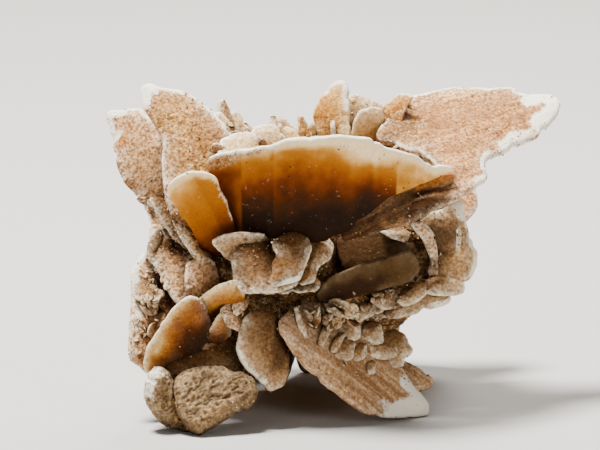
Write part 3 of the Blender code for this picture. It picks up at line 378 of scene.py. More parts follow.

# Places on a blade that differ from the rest of it: white bruises, thick sand, painted shade (dark marks) and
# a painted amber glow of light through clear crystal (amber marks).
# Each is an oval of half sizes wide and high, turned by so many degrees; an edge mark is a white band
# that follows the rim, high mm deep, within wide mm of its middle.
markKinds = ("frost", "edge", "sand", "amber", "dark")
Mark = namedtuple("Mark", "kind x z wide high turn strength")
marks = {
    "plate_right": [("edge", 47, 71.5, 7, 3.4, 0, 1.1), ("edge", 39.5, 65.5, 5.5, 2.6, 0, 1),
        ("edge", 33.8, 58, 5, 1.3, 0, 0.9), ("edge", 40, 76, 12, 0.8, 0, 1), ("edge", 20, 75, 9, 0.7, 0, 1),
        ("amber", 37.6, 66.2, 3.4, 1, 40, 0.5), ("sand", 14, 66.5, 6.5, 4.5, 20, 1),
        ("dark", 22, 54, 7.5, 2.6, 28, 0.6), ("dark", 19, 49.4, 8.5, 2.8, 30, 0.8),
        ("dark", 14, 67, 5.5, 3.5, 30, 0.7)],
    "leaf_left": [("sand", 13.5, 67.5, 4.5, 4.5, 0, 1), ("dark", 13.5, 66.5, 4.5, 3.5, 0, 0.45),
        ("amber", 13.2, 69.5, 4, 2.6, 50, 0.6)],
    "leaf_right": [("sand", 16, 66.5, 3.5, 5, 0, 1)],
    "root_right": [("dark", 5, 47, 8, 4.5, 35, 1), ("dark", 14.5, 51.6, 9, 3.4, 27, 0.9),
        ("amber", 22, 56.6, 5.5, 1.3, 14, 0.9)],
    "wing_inner": [("edge", -42, 74.5, 4.4, 2.6, 0, 1.1), ("edge", -37, 76, 5.5, 1.2, 0, 1),
        ("edge", -27.5, 71, 7, 0.8, 0, 0.9), ("sand", -33.9, 64.7, 9, 3, -49, 1),
        ("sand", -27.5, 57.5, 5, 3.5, -20, 0.9)],
    "wing_outer": [("amber", -46, 64.3, 1.9, 1.1, 60, 0.8), ("frost", -47.3, 65.5, 2.4, 0.8, 50, 0.9),
        ("edge", -49.5, 69, 4, 1.5, 0, 1), ("edge", -43, 71.5, 5, 0.8, 0, 1)],
    "crown_peak": [("edge", 2.5, 74.5, 4.5, 1, 0, 1), ("sand", -2, 66.5, 4, 3, 30, 0.9)],
    "scoop_b": [("edge", -9.5, 33.2, 3.4, 1.1, 0, 1.1)],
    "scoop_left": [("dark", -30.6, 20.6, 6.8, 3.4, 55, 0.85)],
    "floor_plate": [("edge", 16.4, 4.6, 7.4, 2.6, 0, 1.2), ("frost", 15.6, 5.6, 6, 2.5, -3, 1.1),
        ("sand", -1.6, 12.9, 13, 1.5, -38, 1), ("dark", -6, 25, 7, 4, -30, 0.5)],
    "floor_branch": [("sand", 19.5, 10.5, 3, 1.6, -30, 0.8)],
    "knob_left": [("sand", -35, 6, 6, 2.2, -55, 0.9), ("dark", -35.2, 11, 4, 0.9, 80, 0.7),
        ("edge", -40.5, 11.5, 4.5, 1.8, 0, 0.6)],
    "knob_right": [("sand", -27, 4, 5, 2, 35, 0.5)],
    "bowl": [("sand", -25, 60.8, 4.5, 2.4, 10, 1.2), ("sand", -18, 62.6, 5, 1.2, 5, 0.9)],
    "shelf_dark": [("dark", 3, 31.5, 9, 3, 20, 0.9)],
    "stack_a": [("dark", 22.7, 44.4, 4.6, 4, 0, 0.7), ("edge", 28.4, 50, 3.4, 3, 0, 1)],
    "stack_b": [("edge", 31, 38, 4.8, 1.1, 0, 1)],
    "stack_d": [("edge", 24.5, 31, 4.4, 1.4, 0, 1)],
    # the flank's frost oval pales its left rim: partly white rim, partly painted light on a face in shade
    "flank": [("edge", -43.5, 37, 6, 1.5, 0, 1), ("frost", -43.6, 29, 1.6, 10, 0, 0.55)],
    "pendant": [("edge", -19.5, 15.5, 6.5, 0.9, 0, 0.9), ("dark", -11.6, 20, 7, 2.2, 75, 0.7)],
    "curl_right": [("dark", 21.6, 36.6, 2.6, 1.4, 80, 0.7)],
}
markLook = {"ragged": 0.25, "raggedSize": 2.5, "fade": (1.15, 0.6), "seed": 31}  # how the ovals fade out

bladeLook = {
    "cell": 0.5,  # mm, size of a face on the front blades
    "sideCell": 0.8,  # and on the hidden sides
    "smallCell": 0.4,  # and on blades narrower than smallWidth
    "smallWidth": 9.0,
    "knobCell": 0.3,
    "quickCells": 1.8,
    "edgeStep": 0.5,  # mm between the corners of the smoothed edge
    "edgeFullness": 0.35,
    "rimShare": 0.2,  # half the rim's thickness as a share of the blade's
    "wallCuts": 4,
    "fullAt": 1.7,  # mm from the rim where the blade reaches its full thickness
    "inset": 0.2,  # rounding of the rim
    "thinnest": 0.15,  # half the thickness at least
    "rays": 0.14,  # depth of the fine rays across the rim
    "rayStep": 0.75,  # mm from one ray to the next
    "layers": 0.09,  # depth of the layers that show along the broken rim
    "wave": 0.17,  # wandering of the edge
    "waveSizes": (2.6, 1.1),
    "chip": 1.3,  # depth of the chips in it
    "chipSize": 1.8,
    "chipFrom": 0.34,  # how rare the chips are
    "warp": 0.3,  # unevenness of the whole blade
    "warpSize": 14.0,
    "grit": 0.12,  # depth of the sand's unevenness
    "rings": (1.6, 3.0, 4.9, 7.6, 11.0),  # growth terraces, by their distance from the rim
    "ringShare": 0.5,  # share of the swelling that comes in these steps
    "ringWidth": 0.22,  # mm, width of the dark line along each step
    "wrinkles": 0.4,  # depth of the wrinkles on the round lumps
    "wrinkleTurn": ((0.91, -0.42), (0.42, 0.91)),
    "wrinkleSizes": (1.1, 0.55),  # mm along and across a wrinkle
}
rowsAtOnce = 4000  # points measured in one go, to spare memory
tiny = 1e-9


def hexColour(text):
    # an sRGB hex colour as linear red, green and blue
    parts = [int(text[i:i + 2], 16) / 255 for i in (1, 3, 5)]
    return [c / 12.92 if c <= 0.04045 else ((c + 0.055) / 1.055) ** 2.4 for c in parts]


def mixed(first, second, share):
    share = np.clip(share, 0, 1)[:, None]
    return np.asarray(first) * (1 - share) + np.asarray(second) * share


def lattice(cell, seed):
    mixture = cell[:, 0] * 73856093 ^ cell[:, 1] * 19349663 ^ cell[:, 2] * 83492791 ^ (seed * 2654435761)
    mixture = (mixture ^ (mixture >> 13)) * 1274126177
    mixture = mixture ^ (mixture >> 16)
    return (mixture & 0xFFFF) / 32767.5 - 1


def softNoise(points, size, seed=0):
    # smooth noise from -1 to 1 that changes over about size mm
    scaled = points / size
    cell = np.floor(scaled).astype(np.int64)
    part = scaled - cell
    part = part * part * (3 - 2 * part)
    total = np.zeros(len(points))
    for corner in product((0, 1), repeat=3):
        weight = np.prod(np.where(corner, part, 1 - part), axis=1)
        total += weight * lattice(cell + corner, seed)
    return total


def smoothStep(low, high, value):
    share = np.clip((value - low) / (high - low), 0, 1)
    return share * share * (3 - 2 * share)


def wayOf(degrees):
    return np.array([math.cos(math.radians(degrees)), math.sin(math.radians(degrees))])


def seedOf(name):
    return sum((i + 1) * ord(c) for i, c in enumerate(name)) % 9973


def unit(rows):
    return rows / np.linalg.norm(rows, axis=1)[:, None]


def withThird(flat, third):
    return np.column_stack([flat, np.full(len(flat), third)])


def moved(points, matrix):
    grid = np.array(matrix)
    return points @ grid[:3, :3].T + grid[:3, 3]


toOrigin = Matrix.Translation(drawing["shift"])


def frontPlace():
    tilt = Matrix.Rotation(-math.radians(drawing["looksDown"]), 4, "X")
    foot = tilt @ Vector((0, drawing["footDepth"], 0))
    return toOrigin @ Matrix.Translation((0, -drawing["axisDepth"], -foot.z)) @ tilt


def meshFrom(name, work):
    mesh = bpy.data.meshes.new(name)
    work.to_mesh(mesh)
    work.free()
    return mesh


def inScene(name, data):
    thing = bpy.data.objects.new(name, data)
    bpy.context.scene.collection.objects.link(thing)
    return thing


def pointsOf(mesh):
    points = np.zeros(len(mesh.vertices) * 3, np.float32)
    mesh.vertices.foreach_get("co", points)
    return points.reshape(-1, 3).astype(float)


def setPoints(mesh, points):
    # places the points, given in mm; the feet are worn flat on the floor
    points[:, 2] = np.clip(points[:, 2], 0, None)
    mesh.vertices.foreach_set("co", (points * mm).astype(np.float32).ravel())
    mesh.update()


def attribute(mesh, name, kind, values):
    layer = mesh.attributes.new(name, kind, "POINT")
    key = {"FLOAT": "value", "FLOAT_VECTOR": "vector", "FLOAT_COLOR": "color"}[kind]
    layer.data.foreach_set(key, np.asarray(values, np.float32).ravel())


def dressMesh(mesh, frost, sand, clear, stripe, tint, lines):
    # what the gypsum's material reads at each point
    count = len(mesh.vertices)
    for name, values in (("frost", frost), ("sand", sand), ("clear", clear), ("stripe", stripe)):
        attribute(mesh, name, "FLOAT", np.broadcast_to(values, count))
    attribute(mesh, "tint", "FLOAT_COLOR", withThird(tint, 1))
    attribute(mesh, "lines", "FLOAT_VECTOR", lines)


def smoothEdge(outline):
    # a closed line through the corners that bends smoothly at each
    corners = np.array(outline, float)
    points = []
    count = len(corners)
    for i in range(count):
        a, b, c, d = (corners[(i + k) % count] for k in (-1, 0, 1, 2))
        length = np.linalg.norm(c - b)
        leave = (c - a) / np.linalg.norm(c - a) * length * bladeLook["edgeFullness"]
        reach = (d - b) / np.linalg.norm(d - b) * length * bladeLook["edgeFullness"]
        steps = max(2, int(length / bladeLook["edgeStep"]))
        for k in range(steps):
            t = k / steps
            points.append((2 * t**3 - 3 * t**2 + 1) * b + (t**3 - 2 * t**2 + t) * leave
                          + (3 * t**2 - 2 * t**3) * c + (t**3 - t**2) * reach)
    return np.array(points)


def outwardOf(edge):
    along = np.roll(edge, -1, 0) - np.roll(edge, 1, 0)
    along /= np.linalg.norm(along, axis=1)[:, None] + tiny
    x, z = edge.T
    turn = 1 if (x * np.roll(z, -1) - np.roll(x, -1) * z).sum() > 0 else -1
    return np.stack([along[:, 1], -along[:, 0]], 1) * turn


def roughEdge(edge, seed, share):
    # wanders and chips the edge as broken and worn crystal does
    spots = withThird(edge, seed * 3.7)
    large, small = bladeLook["waveSizes"]
    wander = softNoise(spots, large, seed) + 0.6 * softNoise(spots, small, seed + 1)
    chips = np.clip(softNoise(spots, bladeLook["chipSize"], seed + 2) - bladeLook["chipFrom"], 0, None)
    push = bladeLook["wave"] * wander - bladeLook["chip"] * chips
    return edge + outwardOf(edge) * (push * share)[:, None]


def measureToEdge(points, edge):
    # distance to the edge (positive inside), the nearest point on it and the way out there
    ahead = np.roll(edge, -1, 0)
    along = ahead - edge
    lengths = (along**2).sum(1) + 1e-12
    outward = outwardOf(edge)
    distance, near, out = np.zeros(len(points)), np.zeros((len(points), 2)), np.zeros((len(points), 2))
    for start in range(0, len(points), rowsAtOnce):
        some = points[start:start + rowsAtOnce]
        gap = some[:, None] - edge
        share = np.clip((gap * along).sum(2) / lengths, 0, 1)
        away = gap - share[..., None] * along
        reach = np.hypot(away[..., 0], away[..., 1])
        best = reach.argmin(1)
        rows = np.arange(len(some))
        x, z = some.T
        spans = (edge[:, 1] > z[:, None]) != (ahead[:, 1] > z[:, None])
        slope = along[:, 0] / np.where(along[:, 1] == 0, tiny, along[:, 1])
        inside = (spans & (x[:, None] < edge[:, 0] + slope * (z[:, None] - edge[:, 1]))).sum(1) % 2 == 1
        part = slice(start, start + len(some))
        distance[part] = np.where(inside, 1, -1) * reach[rows, best]
        near[part] = some - away[rows, best]
        out[part] = outward[best]
    return distance, near, out


def belowTop(points, edge):
    # how far each point lies below the top of the outline
    ahead = np.roll(edge, -1, 0)
    x = points[:, 0][:, None]
    spans = (edge[:, 0] > x) != (ahead[:, 0] > x)
    run = ahead[:, 0] - edge[:, 0]
    slope = (ahead[:, 1] - edge[:, 1]) / np.where(run == 0, tiny, run)
    heights = np.where(spans, edge[:, 1] + slope * (x - edge[:, 0]), -1e3)
    return np.clip(heights.max(1) - points[:, 1], 0, 60)


def edgeRun(edge, spots):
    # how far along the edge each point's nearest corner lies, in mm
    lengths = np.linalg.norm(np.roll(edge, -1, 0) - edge, axis=1)
    run = np.concatenate([[0], np.cumsum(lengths)[:-1]])
    nearest = np.zeros(len(spots), int)
    for start in range(0, len(spots), rowsAtOnce):
        some = spots[start:start + rowsAtOnce]
        nearest[start:start + rowsAtOnce] = ((some[:, None] - edge) ** 2).sum(2).argmin(1)
    return run[nearest]


def freeShare(flat, edge, way):
    # 0 where the blade grows out of the others, 1 at its free rim
    along = edge @ wayOf(way)
    return np.clip((flat @ wayOf(way) - along.min()) / np.ptp(along), 0, 1)


def marked(name, kind, flat, distance):
    # how strongly the marks of one kind cover each point of a blade
    total = np.zeros(len(flat))
    ragged = markLook["ragged"] * softNoise(withThird(flat, 0), markLook["raggedSize"], markLook["seed"])
    for mark in (Mark(*row) for row in marks.get(name, ())):
        if mark.kind == kind:
            away = flat - (mark.x, mark.z)
            if kind == "edge":
                reach = np.maximum(np.linalg.norm(away, axis=1) / mark.wide, distance / mark.high)
            else:
                along, over = away @ wayOf(mark.turn), away @ wayOf(mark.turn + 90)
                reach = np.hypot(along / mark.wide, over / mark.high)
            total = np.maximum(total, mark.strength * smoothStep(*markLook["fade"], reach + ragged))
    return total


def isFrayed(vert):
    # it hangs on the sheet by a corner or sticks out of it
    openLines = sum(len(line.link_faces) < 2 for line in vert.link_edges)
    return openLines not in (0, 2)


def sheetOf(edge, cell, inset):
    # a grid of cells cut to the outline and set back from it by inset
    low, high = edge.min(0) - cell, edge.max(0) + cell
    work = bmesh.new()
    across, up = (int((b - a) / cell) + 1 for a, b in zip(low, high))
    bmesh.ops.create_grid(work, x_segments=across, y_segments=up, size=0.5)
    bmesh.ops.scale(work, vec=(high[0] - low[0], high[1] - low[1], 1), verts=work.verts)
    middle = (low + high) / 2
    bmesh.ops.translate(work, vec=(middle[0], middle[1], 0), verts=work.verts)
    spots = np.array([vert.co.xy for vert in work.verts])
    distance = measureToEdge(spots, edge)[0]
    outer = [vert for vert, d in zip(work.verts, distance) if d - inset < -0.4 * cell]
    while outer:
        bmesh.ops.delete(work, geom=outer, context="VERTS")
        outer = [vert for vert in work.verts if isFrayed(vert)]
    rim = [vert for vert in work.verts if vert.is_boundary]
    if not rim:
        return work
    spots = np.array([vert.co.xy for vert in rim])
    distance, near, out = measureToEdge(spots, edge)
    for vert, spot, way in zip(rim, near, out):
        vert.co.xy = spot - way * inset
    inner = [vert for vert in work.verts if not vert.is_boundary]
    for turn in range(2):
        bmesh.ops.smooth_vert(work, verts=inner, factor=0.4, use_axis_x=True, use_axis_y=True)
    return work


def plateOf(work):
    # thickens the sheet: z runs from -1 on the front face to 1 on the back, with a rounded wall between
    for vert in work.verts:
        vert.co.z = -1
    grown = bmesh.ops.extrude_face_region(work, geom=work.faces[:])["geom"]
    back = {part for part in grown if isinstance(part, bmesh.types.BMVert)}
    bmesh.ops.translate(work, vec=(0, 0, 2), verts=list(back))
    wall = [line for line in work.edges if (line.verts[0] in back) != (line.verts[1] in back)]
    bmesh.ops.subdivide_edges(work, edges=wall, cuts=bladeLook["wallCuts"])
    bmesh.ops.recalc_face_normals(work, faces=work.faces)
    bmesh.ops.reverse_faces(work, faces=work.faces)  # the drawing's axes swap hands when it is stood up
    return work


def surveyed(blade, cell, rough, way):
    # the blade's plate as a mesh, and all that its thickness and its colours are worked out from
    seed = seedOf(blade.name)
    look = finishes[blade.finish]
    edge = roughEdge(smoothEdge(blade.outline), seed, rough)
    middle = np.array(blade.outline, float).mean(0)
    if way is None:
        away = middle - np.array(rootLook["centre"])
        way = freeWays.get(blade.name, math.degrees(math.atan2(away[1], away[0])))
    rooted = 0.0 if blade.name in rootless else 1.0
    rim = blade.thick * bladeLook["rimShare"]
    inset = min(0.6 * rim, bladeLook["inset"])
    mesh = meshFrom(blade.name, plateOf(sheetOf(edge, cell, inset)))
    spots = pointsOf(mesh)
    side = spots[:, 2].copy()
    flat = spots[:, :2]
    distance, near, out = measureToEdge(flat, edge)
    distance = np.clip(distance, 0, None)
    wall = np.abs(side) < 0.9
    layer = np.column_stack([flat * 0.35, side * rim / 0.3])
    bulge = inset * (1 - side**4) + bladeLook["layers"] * softNoise(layer, 1.0, seed + 3)
    flat = flat + out * (bulge * wall)[:, None]
    distance = np.where(wall, inset * side**2, distance)
    free = freeShare(flat, edge, way)
    facingOut = 1 - rooted * (1 - smoothStep(-0.6, 0.3, out @ wayOf(way)))
    face = np.column_stack([flat, side * 4 + seed])
    body = withThird(flat, seed * 1.3)
    mark = {kind: marked(blade.name, kind, flat, distance) for kind in markKinds}
    sand = look.sand * (1 + 0.9 * softNoise(face, 6.0, seed)) * smoothStep(0.2, 2.0, distance)
    sand *= 0.7 + 0.6 * (1 - free) * rooted
    sand = np.clip(sand + mark["sand"], 0, 1) * (1 - 0.8 * np.clip(mark["dark"], 0, 1))
    run = edgeRun(edge, near)
    rays = softNoise(np.column_stack([run / bladeLook["rayStep"], distance / 4, side]), 1.0, seed + 8)
    return mesh, SimpleNamespace(
        blade=blade, look=look, seed=seed, way=way, rooted=rooted, rim=rim, edge=edge, middle=middle,
        flat=flat, side=side, distance=distance, out=out, wall=wall, free=free, facingOut=facingOut,
        face=face, body=body, mark=mark, sand=sand, rays=rays,
    )


def wrinklesOf(at):
    # fine ridges across the round lumps
    bent = at.flat @ np.array(bladeLook["wrinkleTurn"])
    along, across = bladeLook["wrinkleSizes"]
    wave = 0.9 * softNoise(at.body, 2.2, at.seed + 4)
    ridges = np.column_stack([bent[:, 0] / along, bent[:, 1] / across + wave, at.side])
    return 0.45 - 1.5 * np.abs(softNoise(ridges, 1.0, at.seed + 6))


def thicknessOf(at):
    # half the thickness: a lens that thins to the rim, with growth terraces and fine rays across the rim
    wander = 0.9 * softNoise(at.body, 5.0, at.seed + 5) + 0.22 * softNoise(at.body, 1.3, at.seed + 14)
    rings = [ring for ring in bladeLook["rings"] if ring < at.distance.max() and at.blade.finish != "knob"]
    rise = np.clip(at.distance / bladeLook["fullAt"], 0, 1) ** 0.8
    at.growth = np.zeros(len(at.flat))  # the dark line along each terrace, partly painted shade at its step, for the colours
    steps = []
    for ring in rings:
        past = at.distance + wander - ring
        steps.append(smoothStep(ring - 0.12, ring + 0.12, at.distance + wander))
        at.growth = at.growth + np.exp(-((past - 0.2) / bladeLook["ringWidth"]) ** 2)
    if rings:
        rise += bladeLook["ringShare"] * (sum(steps) / len(rings) - rise)
    half = at.blade.thick / 2
    thick = at.rim + (half - at.rim) * rise
    relief = at.look.relief * (softNoise(at.face, 3.6, at.seed) + 0.3 * softNoise(at.face, 1.3, at.seed + 1))
    if at.blade.finish == "knob":
        at.wrinkles = wrinklesOf(at)
        relief += bladeLook["wrinkles"] * at.wrinkles + 0.4 * softNoise(at.face, 5.0, at.seed + 7)
    grit = at.sand * bladeLook["grit"] * softNoise(at.face, 0.9, at.seed + 2)
    thick += (relief + grit) * smoothStep(0.3, 1.6, at.distance)
    thick += bladeLook["rays"] * at.rays * smoothStep(0, 0.4, at.distance) * smoothStep(3.5, 0.8, at.distance)
    return np.clip(thick, bladeLook["thinnest"], None)


def standing(at, thick):
    # the blade's points in the drawing: its plane slopes, bends and warps, and sinks back where it is rooted
    blade = at.blade
    across = at.flat[:, 0] - at.middle[0]
    above = at.flat[:, 1] - at.middle[1]
    slope = blade.right + 2 * blade.bend * across
    outward = unit(np.column_stack([-slope, np.ones(len(slope)), np.full(len(slope), -blade.up)]))
    sink = at.rooted * min(rootLook["sink"], rootLook["sinkShare"] * np.ptp(at.edge @ wayOf(at.way)))
    depth = blade.depth + blade.right * across + blade.up * above + blade.bend * across**2
    warp = bladeLook["warp"] * softNoise(at.body, bladeLook["warpSize"], at.seed + 7)
    depth += warp + sink * (1 - at.free) ** 2
    return np.column_stack([at.flat[:, 0], depth, at.flat[:, 1]]) + outward * (at.side * thick)[:, None]


paintLook = {
    "cream": "#EBD9B8",  # every blade is lighter towards its rim: partly thin crystal's own paleness, partly painted light through the thin rim
    "creamFade": 1.3,  # mm over which that fades
    # painted shade in the creases of the wrinkles
    "wrinkle": "#4E3820",
    # painted shade for the dark marks, and a painted amber glow for the amber marks
    "dark": "#2A180C",
    "amber": "#B4691E",
    # growth lines darkened at each terrace step: partly painted shade
    "ringShade": 0.45,
}


def frostOf(at):
    # white, cracked crystal along the rim and in bruises; the flank's frost mark is partly painted light
    width = at.look.frostWide * (1 + 0.5 * softNoise(at.face, 4.0, at.seed + 9))
    patchy = np.clip(0.75 + 0.6 * softNoise(at.body, 5.0, at.seed + 10), 0.1, 1.1)
    frost = at.look.frost * patchy * np.exp(-(at.distance / width) ** 2) * at.facingOut
    frost *= np.where(at.wall, 0.3 + 0.5 * at.side**2, 1.0)
    bruise = np.maximum(at.mark["frost"], at.mark["edge"])
    return np.maximum(frost * (1 - 0.8 * np.clip(at.mark["dark"], 0, 1)), bruise)


def bodyTint(at):
    tint, shade = hexColour(at.look.tint), hexColour(at.look.shade)
    # painted shade towards the rooted end of the blade
    rootShade = at.rooted * rootLook["dark"] * smoothStep(rootLook["shadeTo"], 0.0, at.free)
    # lighter towards the free rim: partly painted light through the thin crystal
    creamy = 0.8 + 0.3 * softNoise(at.body, 4.0, at.seed + 15) + 0.5 * at.rays
    creamy = np.exp(-at.distance / paintLook["creamFade"]) * creamy * (at.facingOut * at.look.cream)
    patches = smoothStep(-0.3, 0.5, softNoise(at.body, 4.0, at.seed + 16))
    # darker away from the rim, with patchy tone: partly painted shade
    deeper = 0.1 + 0.5 * smoothStep(1.0, 7.0, at.distance) + 0.5 * softNoise(at.body, 7.0, at.seed + 13)
    tint = mixed(tint, shade, deeper)
    tint = mixed(tint, hexColour(rootLook["colour"]), rootShade)
    tint = mixed(tint, hexColour(paintLook["cream"]), creamy)
    # darker along the terrace steps: partly painted shade
    tint = mixed(tint, shade, paintLook["ringShade"] * at.growth * patches)
    # darker in the wrinkles' creases: painted shade
    if at.blade.finish == "knob":
        tint = mixed(tint, hexColour(paintLook["wrinkle"]), 0.7 * smoothStep(0.1, -0.5, at.wrinkles))
    # dark marks are painted shade; amber marks are a painted amber glow
    tint = mixed(tint, hexColour(paintLook["dark"]), at.mark["dark"])
    return mixed(tint, hexColour(paintLook["amber"]), at.mark["amber"])


# Painted light and shade of what lies behind the hollow blade, as if seen through it: places are x in its
# drawing, in mm.
bowlLook = {
    "leftEdge": -19.7,  # left of here a dull band, right of rightEdge a bright one
    "rightEdge": 13.5,
    "cloudAt": -7,  # a rusty cloud
    "cloudWide": 6.5,
    "cloudDeep": 3.0,
    "spotAt": (7, 5),  # a bright spot: x, and mm below the rim
    "spotWide": (4.5, 4),
    "spotBright": 3.5,
    "facetEdge": -13,  # left of here the crystal is a little darker
}


def throughBowl(at, drop):
    # how deep the painted light seems to come from, with the shapes behind the hollow blade
    x = at.flat[:, 0]
    look = bowlLook
    under = smoothStep(0.8, 2.4, drop)
    cloud = look["cloudDeep"] * np.exp(-((x - look["cloudAt"]) / look["cloudWide"]) ** 2)
    cloud = cloud * under * smoothStep(16, 6, drop)
    (spotX, spotDrop), (spotWide, spotHigh) = look["spotAt"], look["spotWide"]
    spot = look["spotBright"] * np.exp(-((x - spotX) / spotWide) ** 2 - ((drop - spotDrop) / spotHigh) ** 2)
    pale = 1.3 + 0.8 * softNoise(at.body, 4.0, at.seed + 18)
    pale = pale * smoothStep(0, 1.5, drop) * smoothStep(9, 3, drop)
    middle = drop * (1 + 0.27 * smoothStep(2, 7, x)) + cloud - spot - pale
    middle = np.where(x < look["facetEdge"], drop * 1.2 + 1.2 * under, middle)
    left = np.clip(drop * 2.2, 0, 9.6)
    right = 1.9 * under + 0.12 * drop
    return np.select([x < look["leftEdge"], x > look["rightEdge"]], [left, right], middle)


# How uneven clear crystal is: mm deep and mm across.
waverLook = {"clouds": (1.6, 5.0), "streaks": (0.35, 1.3), "facets": (0.6, 4.3), "grain": (0.9, 1.3)}
# Painted light coming through the left lobe, with painted shade on its right facet.
lobeLook = {
    "rim": 2.6,  # mm; amber comes right up to a narrow rim
    "facet": 3.5,  # mm; how much darker the right facet is
    "facetAt": (-28.4, 52.6),
    "facetWay": (0.88, 0.47),
}


def glowTint(at, glow, drop):
    # painted colours of light coming through clear crystal, by how deep it comes, with streaks and flat
    # facets
    (clouds, cloudSize), (streaks, streakSize), (facets, facetSize), (grain, grainSize) = waverLook.values()
    facetOf = np.floor(at.flat @ wayOf(glow.toRim - 90) / facetSize).astype(np.int64)
    waver = clouds * softNoise(at.body, cloudSize, at.seed + 11)
    waver = waver + streaks * softNoise(withThird(at.flat / (1, 9), at.seed), streakSize, at.seed + 12)
    waver = waver + facets * lattice(np.stack([facetOf] * 3, 1), at.seed)
    waver = waver + grain * softNoise(at.body, grainSize, at.seed + 19)
    share = np.clip((drop + waver * smoothStep(0.3, 3.0, drop)) / glow.depth, 0, 1)
    places, colours = zip(*glowStops)
    colours = np.array([hexColour(colour) for colour in colours])
    return np.stack([np.interp(share, places, colours[:, channel]) for channel in range(3)], 1)


def lit(at, frost, tint):
    # frost, tint and clearness of a blade that light comes through; its tint is painted light and shade
    glow = glows.get(at.blade.name)
    if glow is None:
        return frost, tint, np.zeros(len(at.flat))
    lean = math.radians(90 - glow.toRim)
    upright = np.array([[math.cos(lean), math.sin(lean)], [-math.sin(lean), math.cos(lean)]])
    drop = belowTop(at.flat @ upright, at.edge @ upright)
    if glow.share == 1:
        frost = frost * smoothStep(-0.1, 0.5, at.out[:, 1])  # painted highlight: white only on the upward rims, where the light falls
    if at.blade.name == "bowl":
        # a painted highlight: white band under the bowl's top rim
        ragged = 0.75 + 0.5 * softNoise(at.body, 2.6, at.seed + 17)
        frost = np.maximum(frost, 0.8 * np.exp(-(drop / ragged) ** 2))
        drop = throughBowl(at, drop)
    if at.blade.name == "lobe_left":
        drop = drop + lobeLook["rim"] * smoothStep(0.6, 1.6, drop)
        toRight = (at.flat - lobeLook["facetAt"]) @ lobeLook["facetWay"]
        drop += lobeLook["facet"] * smoothStep(-0.3, 0.3, toRight) * smoothStep(1.0, 2.0, drop)
    clear = glow.share * (1 - 0.8 * np.clip(at.mark["sand"], 0, 1))
    return frost, mixed(tint, glowTint(at, glow, drop), clear), clear


def bladePiece(blade, place, cell, rough=1.0, way=None):
    mesh, at = surveyed(blade, cell, rough, way)
    setPoints(mesh, moved(standing(at, thicknessOf(at)), place))
    frost, tint, clear = lit(at, frostOf(at), bodyTint(at))
    stripe = at.look.stripe * (1 - clear)
    turn = stripeTurns.get(blade.name, at.way + 90)
    lines = np.column_stack([at.flat @ wayOf(turn), at.flat @ wayOf(turn + 90), at.side * 3 + at.seed])
    dressMesh(mesh, frost, at.sand, np.maximum(clear, at.look.smooth), stripe, tint, lines)
    return inScene(blade.name, mesh)


def joinPieces(name, pieces):
    with bpy.context.temp_override(active_object=pieces[0], selected_editable_objects=pieces):
        bpy.ops.object.join()
    whole = pieces[0]
    whole.name = name
    whole.data.name = name
    whole.data.shade_smooth()
    triangles = sum(len(face.vertices) - 2 for face in whole.data.polygons)
    print(name, "made,", triangles, "triangles")
    return whole


def cellFor(blade, cell):
    if blade.finish == "knob":
        return bladeLook["knobCell"]
    narrow = np.ptp(np.array(blade.outline), axis=0).min() < bladeLook["smallWidth"]
    return min(cell, bladeLook["smallCell"]) if narrow else cell


def wavyOval(name, width, height, spinDegrees, corners, middle=(0, 0)):
    rng = random.Random(name)
    spin = math.radians(spinDegrees)
    outline = []
    for number in range(corners):
        angle = 2 * math.pi * (number + rng.uniform(-0.2, 0.2)) / corners
        reach = rng.uniform(0.88, 1.08)
        x = width / 2 * reach * math.cos(angle)
        z = height / 2 * reach * math.sin(angle)
        turned = (x * math.cos(spin) - z * math.sin(spin), x * math.sin(spin) + z * math.cos(spin))
        outline.append((turned[0] + middle[0], turned[1] + middle[1]))
    return outline


def sidePieces():
    pieces = []
    for oval in sideOvals:
        outline = wavyOval(oval.name, oval.width, oval.height, oval.spin, ovalCorners, (oval.x, oval.z))
        blade = Blade(oval.name, oval.finish, oval.depth, oval.right, oval.up, oval.thick, 0, outline)
        place = toOrigin @ Matrix.Rotation(math.radians(oval.turn), 4, "Z")
        away = math.degrees(math.atan2(oval.z - ovalMiddle, oval.x))
        pieces.append(bladePiece(blade, place, bladeLook["sideCell"], way=away))
    return pieces


def tuftPieces():
    pieces = []
    for tuft in tufts:
        rng = random.Random(tuft.name)
        for number in range(tuft.count):
            name = f"{tuft.name}_{number}"
            size = tuft.size * rng.uniform(*tuftLook["sizes"])
            height = size * rng.uniform(*tuftLook["slimness"])
            spin = rng.uniform(0, 180)
            x = tuft.x + tuft.wide * rng.uniform(-0.5, 0.5)
            z = tuft.z + tuft.high * rng.uniform(-0.5, 0.5)
            outline = wavyOval(name, size, height, spin, tuftLook["corners"], (x, z))
            right = rng.uniform(*tuftLook["slopeRight"])
            up = rng.uniform(*tuftLook["slopeUp"])
            blade = Blade(name, "coarse", tuft.depth, right, up, tuftLook["thick"], 0, outline)
            way = seedOf(name) % 360
            pieces.append(bladePiece(blade, frontPlace(), bladeLook["smallCell"], tuftLook["rough"], way))
    return pieces


